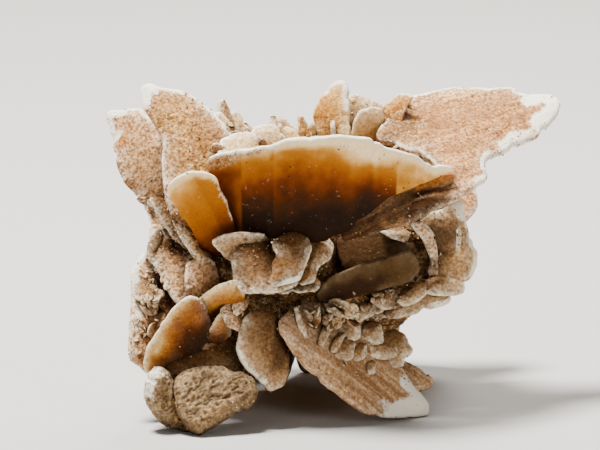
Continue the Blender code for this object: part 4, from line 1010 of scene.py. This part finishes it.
def sproutPieces():
    pieces = []
    rng = random.Random(sprouts["seed"])
    for number in range(sprouts["spots"]):
        rise = 1 - 2 * (number + 0.5) / sprouts["spots"]
        ring = math.sqrt(1 - rise**2)
        turn = number * math.pi * (3 - math.sqrt(5))  # the golden turn spreads them evenly
        out = Vector((ring * math.cos(turn), ring * math.sin(turn), rise))
        if out.y < sprouts["frontLimit"]:
            continue
        name = f"sprout_{number}"
        width = rng.uniform(*sprouts["widths"])
        height = rng.uniform(*sprouts["heights"])
        outline = wavyOval(name, width, height, 0, sprouts["corners"])
        blade = Blade(name, "pale", 0, 0, 0, rng.uniform(*sprouts["thicknesses"]), 0, outline)
        spot = Vector(sprouts["centre"]) + Vector(sprouts["half"]) * out
        swing = Vector([rng.uniform(-sprouts["swing"], sprouts["swing"]) for axis in range(3)])
        facing = (out + swing).normalized().to_track_quat("X", "Z").to_matrix().to_4x4()
        roll = Matrix.Rotation(math.radians(rng.uniform(-sprouts["roll"], sprouts["roll"])), 4, "X")
        place = toOrigin @ Matrix.Translation(spot) @ facing @ roll
        pieces.append(bladePiece(blade, place, bladeLook["sideCell"], way=0))
    return pieces


heartLook = {
    "cuts": 6,
    "radius": 0.98,  # share of the half sizes, so that the lumps stay inside the blades
    "lumps": ((0.9, 3.2), (0.5, 1.5), (0.35, 0.8)),  # mm high and mm across
    # dark browns: painted shade, for the core seen deep in the crevices
    "tint": "#6A4A2A",
    "shade": "#3A2412",
    "sand": 0.6,
    "frost": 0.3,
}


def heartPiece():
    pieces = []
    for number, (centre, half) in enumerate(heartLumps):
        work = bmesh.new()
        place = Matrix.Translation(centre) @ Matrix.Diagonal((*half, 1))
        cuts = heartLook["cuts"]
        bmesh.ops.create_icosphere(work, subdivisions=cuts, radius=heartLook["radius"], matrix=place)
        mesh = meshFrom(f"heart_{number}", work)
        points = pointsOf(mesh)
        outward = unit((points - centre) / np.array(half) ** 2)
        push = 0
        for extra, (high, wide) in enumerate(heartLook["lumps"]):
            push = push + high * softNoise(points, wide, number + extra)
        points = points + outward * push[:, None]
        setPoints(mesh, moved(points, toOrigin))
        mix = 0.5 + 0.5 * softNoise(points, 5.0, number + 3)
        tint = mixed(hexColour(heartLook["tint"]), hexColour(heartLook["shade"]), mix)
        frost = heartLook["frost"] * smoothStep(0.3, 0.8, softNoise(points, 2.0, number + 4))
        dressMesh(mesh, frost, heartLook["sand"], 0.0, 0.0, tint, points)
        pieces.append(inScene(f"heart_{number}", mesh))
    return joinPieces("sandy_heart", pieces)


def groupOf(blade):
    if blade.name in glows:
        return "amber_blades"
    return "upper_blades" if blade.name.startswith(upperNames) else "lower_blades"


upperNames = ("wing", "crown", "leaf", "plate", "root")
solids = {}
for groupName in ("amber_blades", "upper_blades", "lower_blades"):
    chosen = [blade for blade in frontBlades if groupOf(blade) == groupName]
    made = [bladePiece(blade, frontPlace(), cellFor(blade, bladeLook["cell"])) for blade in chosen]
    solids[groupName] = joinPieces(groupName, made)
solids["side_blades"] = joinPieces("side_blades", sidePieces() + sproutPieces())
solids["tuft_blades"] = joinPieces("tuft_blades", tuftPieces())
solids["sandy_heart"] = heartPiece()


druseLook = {
    "samples": 12000,
    "rays": 10,
    "reach": 7.0,  # mm; a surface nearer than this closes off a crevice
    "bladelets": 700,
    "segments": 9,
    "sizes": (0.7, 1.9),  # mm, radius
    "slim": 0.24,  # thickness as a share of the radius
    "light": "#C8A47A",
    "dark": "#80593A",
    "front": "#D2AC7C",
    "tilt": 0.55,  # how unevenly the scales of the front clusters lie
    "grains": 14000,
    "grainSizes": (0.11, 0.3),  # mm, radius
    "grainSpread": 0.8,  # mm
    "grainOut": 0.3,  # share of its radius that a grain's middle lies above the face
    "bare": (0.97, 1.3),  # how few grains stay on clear crystal
    "lift": 0.15,  # mm above the skin from where its openness is measured
    "above": 0.6,  # mm above the skin from where a grain falls
    "frontFrom": -80,  # mm before the drawing from where the front clusters are placed
    "behind": -12.0,  # mm; in front of this the clusters are placed one by one
    "seed": 11,
}
# Clusters of bladelets on the front: middle, half sizes and number in the front drawing, in mm.
Patch = namedtuple("Patch", "x z wide high count sizes")
patches = [
    Patch(0.5, 26.6, 7.0, 2.4, 44, (0.8, 1.5)),
    Patch(11.0, 30.0, 5.5, 2.2, 20, (0.7, 1.3)),
    Patch(-40.0, 31.5, 3.2, 6.0, 26, (0.7, 1.5)),
    Patch(-41.8, 24.0, 2.4, 5.5, 18, (0.6, 1.3)),
    Patch(4.5, 14.0, 3.0, 3.0, 5, (0.5, 0.9)),
]


def treeOf(thing):
    return BVHTree.FromObject(thing, bpy.context.evaluated_depsgraph_get())


def solidTrees():
    return [(treeOf(whole), whole.data) for whole in solids.values()]


def nearest(trees, look):
    # what look finds first among the trees, with the mesh that it is on
    found = [(look(tree), mesh) for tree, mesh in trees]
    return min((hit for hit in found if hit[0][0] is not None), key=lambda hit: hit[0][3], default=None)


def skinSamples(count, seed):
    # points spread evenly over the solid's outer skin in mm, each with its way out and its openness
    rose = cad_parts["sand_rose"]
    skin = rose.data
    skin.calc_loop_triangles()
    rows = np.zeros(len(skin.loop_triangles) * 3, np.int32)
    skin.loop_triangles.foreach_get("vertices", rows)
    faces = pointsOf(skin)[rows.reshape(-1, 3)] / mm
    cross = np.cross(faces[:, 1] - faces[:, 0], faces[:, 2] - faces[:, 0])
    area = np.linalg.norm(cross, axis=1)
    rng = np.random.default_rng(seed)
    picked = rng.choice(len(faces), count, p=area / area.sum())
    a, b = rng.random((2, count, 1))
    flip = a + b > 1
    a, b = np.where(flip, 1 - a, a), np.where(flip, 1 - b, b)
    chosen = faces[picked]
    points = chosen[:, 0] + a * (chosen[:, 1] - chosen[:, 0]) + b * (chosen[:, 2] - chosen[:, 0])
    out = cross[picked] / area[picked][:, None]
    tree = treeOf(rose)
    ways = unit(rng.normal(size=(druseLook["rays"], 3)))
    openness = np.zeros(count)
    for i in range(count):
        start = Vector((points[i] + out[i] * druseLook["lift"]) * mm)
        free = 0
        for way in ways:
            turned = way if way @ out[i] > 0 else -way
            free += tree.ray_cast(start, Vector(turned), druseLook["reach"] * mm)[0] is None
        openness[i] = free / len(ways)
    return points, out, openness


def frontHits(patch, trees, rng):
    # where the blades show in the patch: points, ways out of the face, and the colour there
    place = frontPlace()
    into = (place.to_3x3() @ Vector((0, 1, 0))).normalized()
    spots, ups, tints = [], [], []
    for number in range(patch.count):
        x, z = rng.normal(patch.x, patch.wide * 0.5), rng.normal(patch.z, patch.high * 0.5)
        start = (place @ Vector((x, druseLook["frontFrom"], z))) * mm
        best = nearest(trees, lambda tree: tree.ray_cast(start, into, 200 * mm))
        if best is None:
            continue
        (spot, up, row, reach), mesh = best
        spots.append(spot / mm)
        ups.append(up if up.dot(into) < 0 else -up)
        tints.append(mesh.attributes["tint"].data[mesh.polygons[row].vertices[0]].color[:3])
    return np.array(spots), np.array(ups), np.array(tints)


def shapeOf(work):
    # the corners and triangles of a small shape that is repeated
    bmesh.ops.triangulate(work, faces=work.faces)
    bmesh.ops.recalc_face_normals(work, faces=work.faces)
    points = np.array([vert.co for vert in work.verts])
    rows = np.array([[vert.index for vert in face.verts] for face in work.faces])
    work.free()
    return points, rows


def bladeletShape():
    # one small lens-shaped blade: a thin disc with a few flats round its rim and swollen faces
    work = bmesh.new()
    bmesh.ops.create_circle(work, cap_ends=True, radius=1, segments=druseLook["segments"])
    for vert in work.verts:
        vert.co.z = -0.45
    grown = bmesh.ops.extrude_face_region(work, geom=work.faces[:])["geom"]
    top = [part for part in grown if isinstance(part, bmesh.types.BMVert)]
    bmesh.ops.translate(work, vec=(0, 0, 0.9), verts=top)
    caps = [face for face in work.faces if len(face.verts) > 4]
    bmesh.ops.inset_individual(work, faces=caps, thickness=0.3, depth=0.3)
    return shapeOf(work)


def grainShape():
    work = bmesh.new()
    bmesh.ops.create_uvsphere(work, u_segments=4, v_segments=2, radius=1)
    return shapeOf(work)


def turnsFrom(facing, rng):
    # one turn for each row, its z axis along facing and spun freely about it
    facing = unit(facing)
    side = unit(np.cross(facing, rng.normal(size=facing.shape)))
    return np.stack([side, np.cross(facing, side), facing], axis=2)


def manyOf(name, shape, spots, turns, sizes):
    # one mesh of many copies; sizes has one row of three scales for each copy
    points, rows = shape
    placed = np.einsum("nij,nkj->nki", turns, points[None] * sizes[:, None]) + spots[:, None]
    count = len(points)
    faces = (rows[None] + np.arange(len(spots))[:, None, None] * count).reshape(-1, 3)
    mesh = bpy.data.meshes.new(name)
    mesh.vertices.add(len(spots) * count)
    setPoints(mesh, placed.reshape(-1, 3))
    mesh.loops.add(len(faces) * 3)
    mesh.loops.foreach_set("vertex_index", faces.ravel())
    mesh.polygons.add(len(faces))
    mesh.polygons.foreach_set("loop_start", np.arange(len(faces)) * 3)
    mesh.update(calc_edges=True)
    mesh.validate()
    print(name, "made,", len(faces), "triangles")
    return inScene(name, mesh)


def bladeletPiece():
    rng = np.random.default_rng(druseLook["seed"] + 1)
    tucked = np.clip(0.7 - 1.4 * skinOpen, 0, None) * smoothStep(0.02, 0.12, skinOpen)
    grouped = np.clip(softNoise(skinSpots, 9.0, 3), 0, None)  # they grow in clusters
    weight = tucked * grouped * (skinSpots[:, 1] > druseLook["behind"])
    loose = druseLook["bladelets"] // 1
    loose = min(loose, int((weight > 0).sum()))
    picked = rng.choice(len(weight), loose, replace=False, p=weight / weight.sum())
    tone = rng.uniform(0, 1, loose)
    tints = mixed(hexColour(druseLook["light"]), hexColour(druseLook["dark"]), tone)
    rows = [(skinSpots[picked], skinOut[picked], tints, rng.uniform(*druseLook["sizes"], loose))]
    trees = solidTrees()
    for patch in patches:
        spots, ups, tints = frontHits(patch, trees, rng)
        if len(spots):
            tints = mixed(tints, hexColour(druseLook["front"]), rng.uniform(0.2, 0.7, len(spots)))
            rows.append((spots, ups, tints, rng.uniform(*patch.sizes, len(spots))))
    spots, out, tints, radius = (np.concatenate(parts) for parts in zip(*rows))
    count = len(spots)
    stand = unit(out + 0.5 * rng.normal(size=out.shape))
    facing = np.cross(stand, rng.normal(size=out.shape))
    # the front clusters lie like scales, each tilted its own way
    facing[loose:] = out[loose:] + druseLook["tilt"] * rng.normal(size=out[loose:].shape)
    sizes = np.column_stack([radius, radius * rng.uniform(0.6, 0.95, count), radius * druseLook["slim"]])
    spots = spots + out * (radius * rng.uniform(-0.45, 0.1, count))[:, None]
    shape = bladeletShape()
    piece = manyOf("druse", shape, spots, turnsFrom(facing, rng), sizes)
    corners = len(shape[0])
    rim = np.tile(smoothStep(0.6, 1.0, np.hypot(*shape[0][:, :2].T)), count)
    tint = mixed(np.repeat(tints, corners, axis=0), hexColour(paintLook["cream"]), 0.45 * rim)
    frost = 0.2 * rim * np.repeat(rng.uniform(0.3, 1, count), corners)
    sand = np.repeat(rng.uniform(0.0, 0.4, count), corners)
    dressMesh(piece.data, frost, sand, 0.0, 0.0, tint, pointsOf(piece.data) / mm)
    return piece


def grainPiece():
    # loose desert sand caught on the faces and in the crevices
    rng = np.random.default_rng(druseLook["seed"] + 2)
    count = druseLook["grains"] // 1
    drifts = np.clip(0.35 + 0.9 * softNoise(skinSpots, 6.0, 5), 0.04, None)
    weight = np.clip(1.25 - skinOpen, 0.15, 1) * drifts
    picked = rng.choice(len(weight), count, p=weight / weight.sum())
    near = skinSpots[picked] + rng.normal(size=(count, 3)) * druseLook["grainSpread"]
    trees = solidTrees()
    luck = rng.random(count)
    kept = np.ones(count, bool)
    spots, ups = np.zeros((count, 3)), np.zeros((count, 3))
    for i in range(count):
        start = Vector((near[i] + skinOut[picked[i]] * druseLook["above"]) * mm)
        (spot, up, row, reach), mesh = nearest(trees, lambda tree: tree.find_nearest(start))
        # smooth clear blades hold hardly any sand
        smooth = mesh.attributes["clear"].data[mesh.polygons[row].vertices[0]].value
        most, steep = druseLook["bare"]
        kept[i] = luck[i] > most * min(1, steep * smooth)
        spots[i] = np.array(spot) / mm
        ups[i] = up
    spots, ups = spots[kept], ups[kept]
    count = len(spots)
    radius = druseLook["grainSizes"][0] + np.ptp(druseLook["grainSizes"]) * rng.random(count) ** 2
    sizes = radius[:, None] * rng.uniform(0.75, 1.2, (count, 3))
    spots += ups * (radius * druseLook["grainOut"])[:, None]
    piece = manyOf("sand_grains", grainShape(), spots, turnsFrom(rng.normal(size=(count, 3)), rng), sizes)
    tone = np.repeat(rng.random(count), len(piece.data.vertices) // count)
    attribute(piece.data, "tone", "FLOAT", tone)
    return piece


sampleCount = druseLook["samples"] // 1
skinSpots, skinOut, skinOpen = skinSamples(sampleCount, druseLook["seed"])
print("skin sampled, mean openness", round(skinOpen.mean(), 2))
solids["druse"] = bladeletPiece()
grains = grainPiece()


def fill(tree, node, links):
    # gives each input a value, a hex colour or another node's output
    for key, value in links.items() if isinstance(links, dict) else enumerate(links):
        if isinstance(value, bpy.types.NodeSocket):
            tree.links.new(value, node.inputs[key])
        else:
            node.inputs[key].default_value = (*hexColour(value), 1) if isinstance(value, str) else value


def addNode(tree, kind, links=(), out=0, stops=(), **settings):
    # adds a node with its settings and links, and gives one of its outputs
    node = tree.nodes.new("ShaderNode" + kind)
    for key, value in settings.items():
        setattr(node, key, value)
    fill(tree, node, links)
    for number in range(2, len(stops)):
        node.color_ramp.elements.new(0.5)
    for number, (place, colour) in enumerate(stops):
        node.color_ramp.elements[number].position = place
        node.color_ramp.elements[number].color = (*hexColour(colour), 1)
    return node.outputs[out]


def newMaterial(name):
    material = bpy.data.materials.new(name)
    material.use_nodes = True
    return material, material.node_tree, material.node_tree.nodes["Principled BSDF"]


gypsumLook = {
    "noises": {  # size in mm, detail and seed of each pattern
        "patches": (3.5, 3.0, 1.0),
        "specks": (0.6, 3.0, 2.0),
        "clusters": (5.0, 1.0, 7.0),
        "stuck": (1.6, 3.0, 4.0),
        "worn": (0.9, 3.0, 5.0),
        "fine": (0.5, 3.0, 6.0),
    },
    "spans": {  # which pattern makes a layer, from where to where in it, and how strong the layer is there
        "patched": ("patches", 0.45, 0.65, 0.0, 0.6),
        "pitted": ("specks", 0.38, 0.52, 0.85, 0.0),
        "chalky": ("specks", 0.52, 0.63, 0.0, 0.85),
        "dotted": ("clusters", 0.48, 0.62, 0.0, 0.6),
        "stuck": ("stuck", 0.35, 0.6, 0.0, 1.0),
        "worn": ("worn", 0.3, 0.7, -0.35, 0.35),
    },
    "faces": {  # what the three mottled layers do to the body colour
        "patched": (0.5, 0.4, 0.3, 1),
        "pitted": (0.3, 0.22, 0.16, 1),
        "chalky": (1.5, 1.6, 1.8, 1),
    },
    "frost": "#F2E8D4",  # rims and bruises where the crystal is white with tiny cracks, with some painted highlights on upward rims
    "sand": ((0.0, "#4E2F12"), (0.3, "#8A5A24"), (0.55, "#BB8438"), (0.8, "#D6AE72"), (1.0, "#EBD3AA")),
    "dot": "#3A200E",
    "line": "#7E5230",
    # painted shade where blades meet, with some dirt
    "dirtAndShade": "#26140A",
    "dirtAndShadeReach": 9.0,  # mm; surfaces nearer than this darken with painted shade and some dirt
    "crust": 0.8,  # how well the sand covers the faces where it sticks
    "grainSize": 0.5,  # mm
    "dotSpacing": 0.95,  # mm
    "lineStretch": (0.05, 1.5, 0.4),
    "roughness": 0.62,
    "crustRoughness": 0.9,
    "subsurface": 0.25,
    "ior": 1.52,  # gypsum
    "specular": 0.05,  # the worn faces hardly shine
}


def gypsumMaterial():
    # gypsum with desert sand in it: tan and matt, chalky white along the rims, amber where its tint holds the
    # painted glow of light through clear crystal, and painted shade where blades meet
    look = gypsumLook
    material, tree, shader = newMaterial("sandy_gypsum")
    position = addNode(tree, "TexCoord", out="Object")
    spot = addNode(tree, "VectorMath", (position, (1 / mm, 1 / mm, 1 / mm)), operation="MULTIPLY")
    read = {}
    for name in ("tint", "lines", "frost", "sand", "clear", "stripe"):
        out = {"tint": "Color", "lines": "Vector"}.get(name, "Fac")
        read[name] = addNode(tree, "Attribute", out=out, attribute_name=name)
    clear, stripe = read["clear"], read["stripe"]
    noise = {}
    for name, (size, detail, seed) in look["noises"].items():
        noise[name] = addNode(tree, "TexNoise", (spot, seed, 1 / size, detail), noise_dimensions="4D")
    share = {}
    for name, (pattern, *span) in look["spans"].items():
        share[name] = addNode(tree, "MapRange", (noise[pattern], *span))

    # clear crystal is hardly mottled
    dull = addNode(tree, "Math", (clear, 0.88), operation="MULTIPLY")
    dull = addNode(tree, "Math", (1.0, dull), operation="SUBTRACT")
    for name in look["faces"]:
        share[name] = addNode(tree, "Math", (share[name], dull), operation="MULTIPLY")

    # fine dark specks, in clusters
    dots = addNode(tree, "TexVoronoi", {"Vector": spot, "Scale": 1 / look["dotSpacing"]}).node.outputs
    dotTone = addNode(tree, "SeparateColor", (dots["Color"],), "Green")
    lively = addNode(tree, "Math", (clear, 0.8), operation="ADD")
    dotted = share["dotted"]
    for factor in (addNode(tree, "MapRange", (dotTone, 0.6, 0.75)),
                   addNode(tree, "MapRange", (dots["Distance"], 0.3, 0.16)), lively):
        dotted = addNode(tree, "Math", (dotted, factor), operation="MULTIPLY")

    # growth lines run along the blade
    stretched = addNode(tree, "VectorMath", (read["lines"], look["lineStretch"]), operation="MULTIPLY")
    lined = addNode(tree, "TexNoise", (stretched, 3.0, 1.0, 3.0), noise_dimensions="4D")
    lineShare = addNode(tree, "MapRange", (lined, 0.4, 0.62, 0.0, 0.8))
    lineShare = addNode(tree, "Math", (lineShare, stripe), operation="MULTIPLY")

    # grains of sand stuck in the face
    cells = addNode(tree, "TexVoronoi", {"Vector": spot, "Scale": 1 / look["grainSize"]}).node.outputs
    tone = addNode(tree, "SeparateColor", (cells["Color"],), "Red")
    grainColour = addNode(tree, "ValToRGB", (tone,), stops=look["sand"])
    crust = read["sand"]
    for factor in (share["stuck"], look["crust"], dull):
        crust = addNode(tree, "Math", (crust, factor), operation="MULTIPLY")

    # the white rim is broken up by wear, and painted shade with some dirt darkens where blades meet
    white = addNode(tree, "Math", (read["frost"], share["worn"]), operation="ADD")
    white = addNode(tree, "MapRange", (white, 0.3, 0.85))
    hollow = addNode(tree, "AmbientOcclusion", {"Distance": look["dirtAndShadeReach"] * mm}, "AO", samples=6)
    dirtAndShade = addNode(tree, "MapRange", (hollow, 0.12, 0.7, 0.92, 0.0))

    layers = [(share[name], paint, "MULTIPLY") for name, paint in look["faces"].items()]
    layers += [(dotted, look["dot"], "MIX"), (lineShare, look["line"], "MIX"), (crust, grainColour, "MIX"),
               (white, look["frost"], "MIX"), (dirtAndShade, look["dirtAndShade"], "MIX")]
    colour = read["tint"]
    for amount, paint, blend in layers:
        links = {0: amount, 6: colour, 7: paint}
        colour = addNode(tree, "Mix", links, 2, data_type="RGBA", blend_type=blend, clamp_factor=True)

    rough = addNode(tree, "MapRange", (crust, 0.0, 1.0, look["roughness"], look["crustRoughness"]))
    shine = addNode(tree, "Math", (clear, 0.1), operation="MULTIPLY")
    rough = addNode(tree, "Math", (rough, shine), operation="SUBTRACT")

    # worn grain, stuck grains and growth lines stand out: height, strength, and depth in mm
    rounded = addNode(tree, "Math", (1.0, cells["Distance"]), operation="SUBTRACT")
    rounded = addNode(tree, "Math", (crust, rounded), operation="MULTIPLY")
    ridged = addNode(tree, "Math", (lined, stripe), operation="MULTIPLY")
    relief = {}
    for height, strength, deep in ((noise["fine"], 0.6, 0.4), (rounded, 0.7, 0.3), (ridged, 0.5, 0.4)):
        relief = {"Height": height, "Strength": strength, "Distance": deep * mm, **relief}
        relief = {"Normal": addNode(tree, "Bump", relief)}
    fill(tree, shader, {
        "Base Color": colour,
        "Roughness": rough,
        "IOR": look["ior"],
        "Specular IOR Level": look["specular"],
        "Subsurface Weight": look["subsurface"],
        "Subsurface Radius": (1.0, 0.55, 0.3),
        "Subsurface Scale": 1.5 * mm,
        **relief,
    })
    return material


quartzLook = {
    "tones": ((0.0, "#4A2E18"), (0.25, "#7C5430"), (0.55, "#A67C4C"), (0.8, "#C09A6C"), (0.95, "#D9BE98"),
              (1.0, "#EDE0CA")),
    "roughness": 0.55,
    "ior": 1.54,  # quartz
}


def grainMaterial():
    # quartz sand of the desert: rounded grains from pale cream over gold to rust brown
    material, tree, shader = newMaterial("desert_sand")
    tone = addNode(tree, "Attribute", out="Fac", attribute_name="tone")
    colour = addNode(tree, "ValToRGB", (tone,), stops=quartzLook["tones"])
    fill(tree, shader, {"Base Color": colour, "Roughness": quartzLook["roughness"], "IOR": quartzLook["ior"]})
    return material


gypsum = gypsumMaterial()
for whole in solids.values():
    whole.data.materials.clear()
    whole.data.materials.append(gypsum)
grains.data.materials.append(grainMaterial())

for piece in [*solids.values(), grains]:
    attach(piece, "root")
    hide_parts("sand_rose")
print("materials made, pieces placed")

stageLook = {
    "floor": 6.0,  # m
    "paper": "#BAB5AE",
    "paperRoughness": 0.9,
    "world": 0.03,
    "distance": 2500.0,  # mm from the camera to the drawing's plane
    "centre": (-7.48, 45.98),  # the drawing's point in the middle of the view
    "width": 132.0,  # mm across the view
    "sensor": 36,  # mm
    "farthest": 20,  # m
}
# Soft round lights: where each hangs and points to and how wide it is, in m, and its power in W.
SoftLight = namedtuple("SoftLight", "name spot target size power")
lights = [
    SoftLight("key", (-0.22, 0.05, 0.8), (0, 0, 0.03), 0.22, 28.0),
    SoftLight("back", (0.1, 0.5, 0.6), (0, 0, 0.05), 0.3, 7.0),
    SoftLight("fill_left", (-0.6, -0.8, 0.35), (0, 0, 0.03), 0.3, 1.5),
    SoftLight("fill_right", (0.6, -0.8, 0.3), (0, 0, 0.03), 0.5, 4.4),
]


def addFloor():
    # matt card, pale grey, without a pattern
    work = bmesh.new()
    bmesh.ops.create_grid(work, x_segments=1, y_segments=1, size=stageLook["floor"] / 2)
    mesh = meshFrom("floor", work)
    material, tree, shader = newMaterial("card")
    fill(tree, shader, {"Base Color": stageLook["paper"], "Roughness": stageLook["paperRoughness"]})
    mesh.materials.append(material)
    inScene("floor", mesh)


def addLights():
    for row in lights:
        light = bpy.data.lights.new(row.name, "AREA")
        light.shape = "DISK"
        light.size = row.size
        light.energy = row.power
        facing = (Vector(row.target) - Vector(row.spot)).to_track_quat("-Z", "Y").to_matrix().to_4x4()
        inScene(row.name, light).matrix_world = Matrix.Translation(row.spot) @ facing
    world = bpy.data.worlds.new("studio")
    bpy.context.scene.world = world
    world.use_nodes = True
    glow = {"Color": (1, 1, 1, 1), "Strength": stageLook["world"]}
    fill(world.node_tree, world.node_tree.nodes["Background"], glow)


def addCamera():
    lens = bpy.data.cameras.new("camera")
    lens.sensor_width = stageLook["sensor"]
    lens.lens = stageLook["sensor"] * stageLook["distance"] / stageLook["width"]
    lens.clip_end = stageLook["farthest"]
    camera = inScene("camera", lens)
    seat = Matrix.Translation((stageLook["centre"][0], -stageLook["distance"], stageLook["centre"][1]))
    stand = frontPlace() @ seat @ Matrix.Rotation(math.radians(90), 4, "X")
    stand.translation *= mm
    camera.matrix_world = stand
    bpy.context.scene.camera = camera


addFloor()
addLights()
addCamera()
print("stage set")
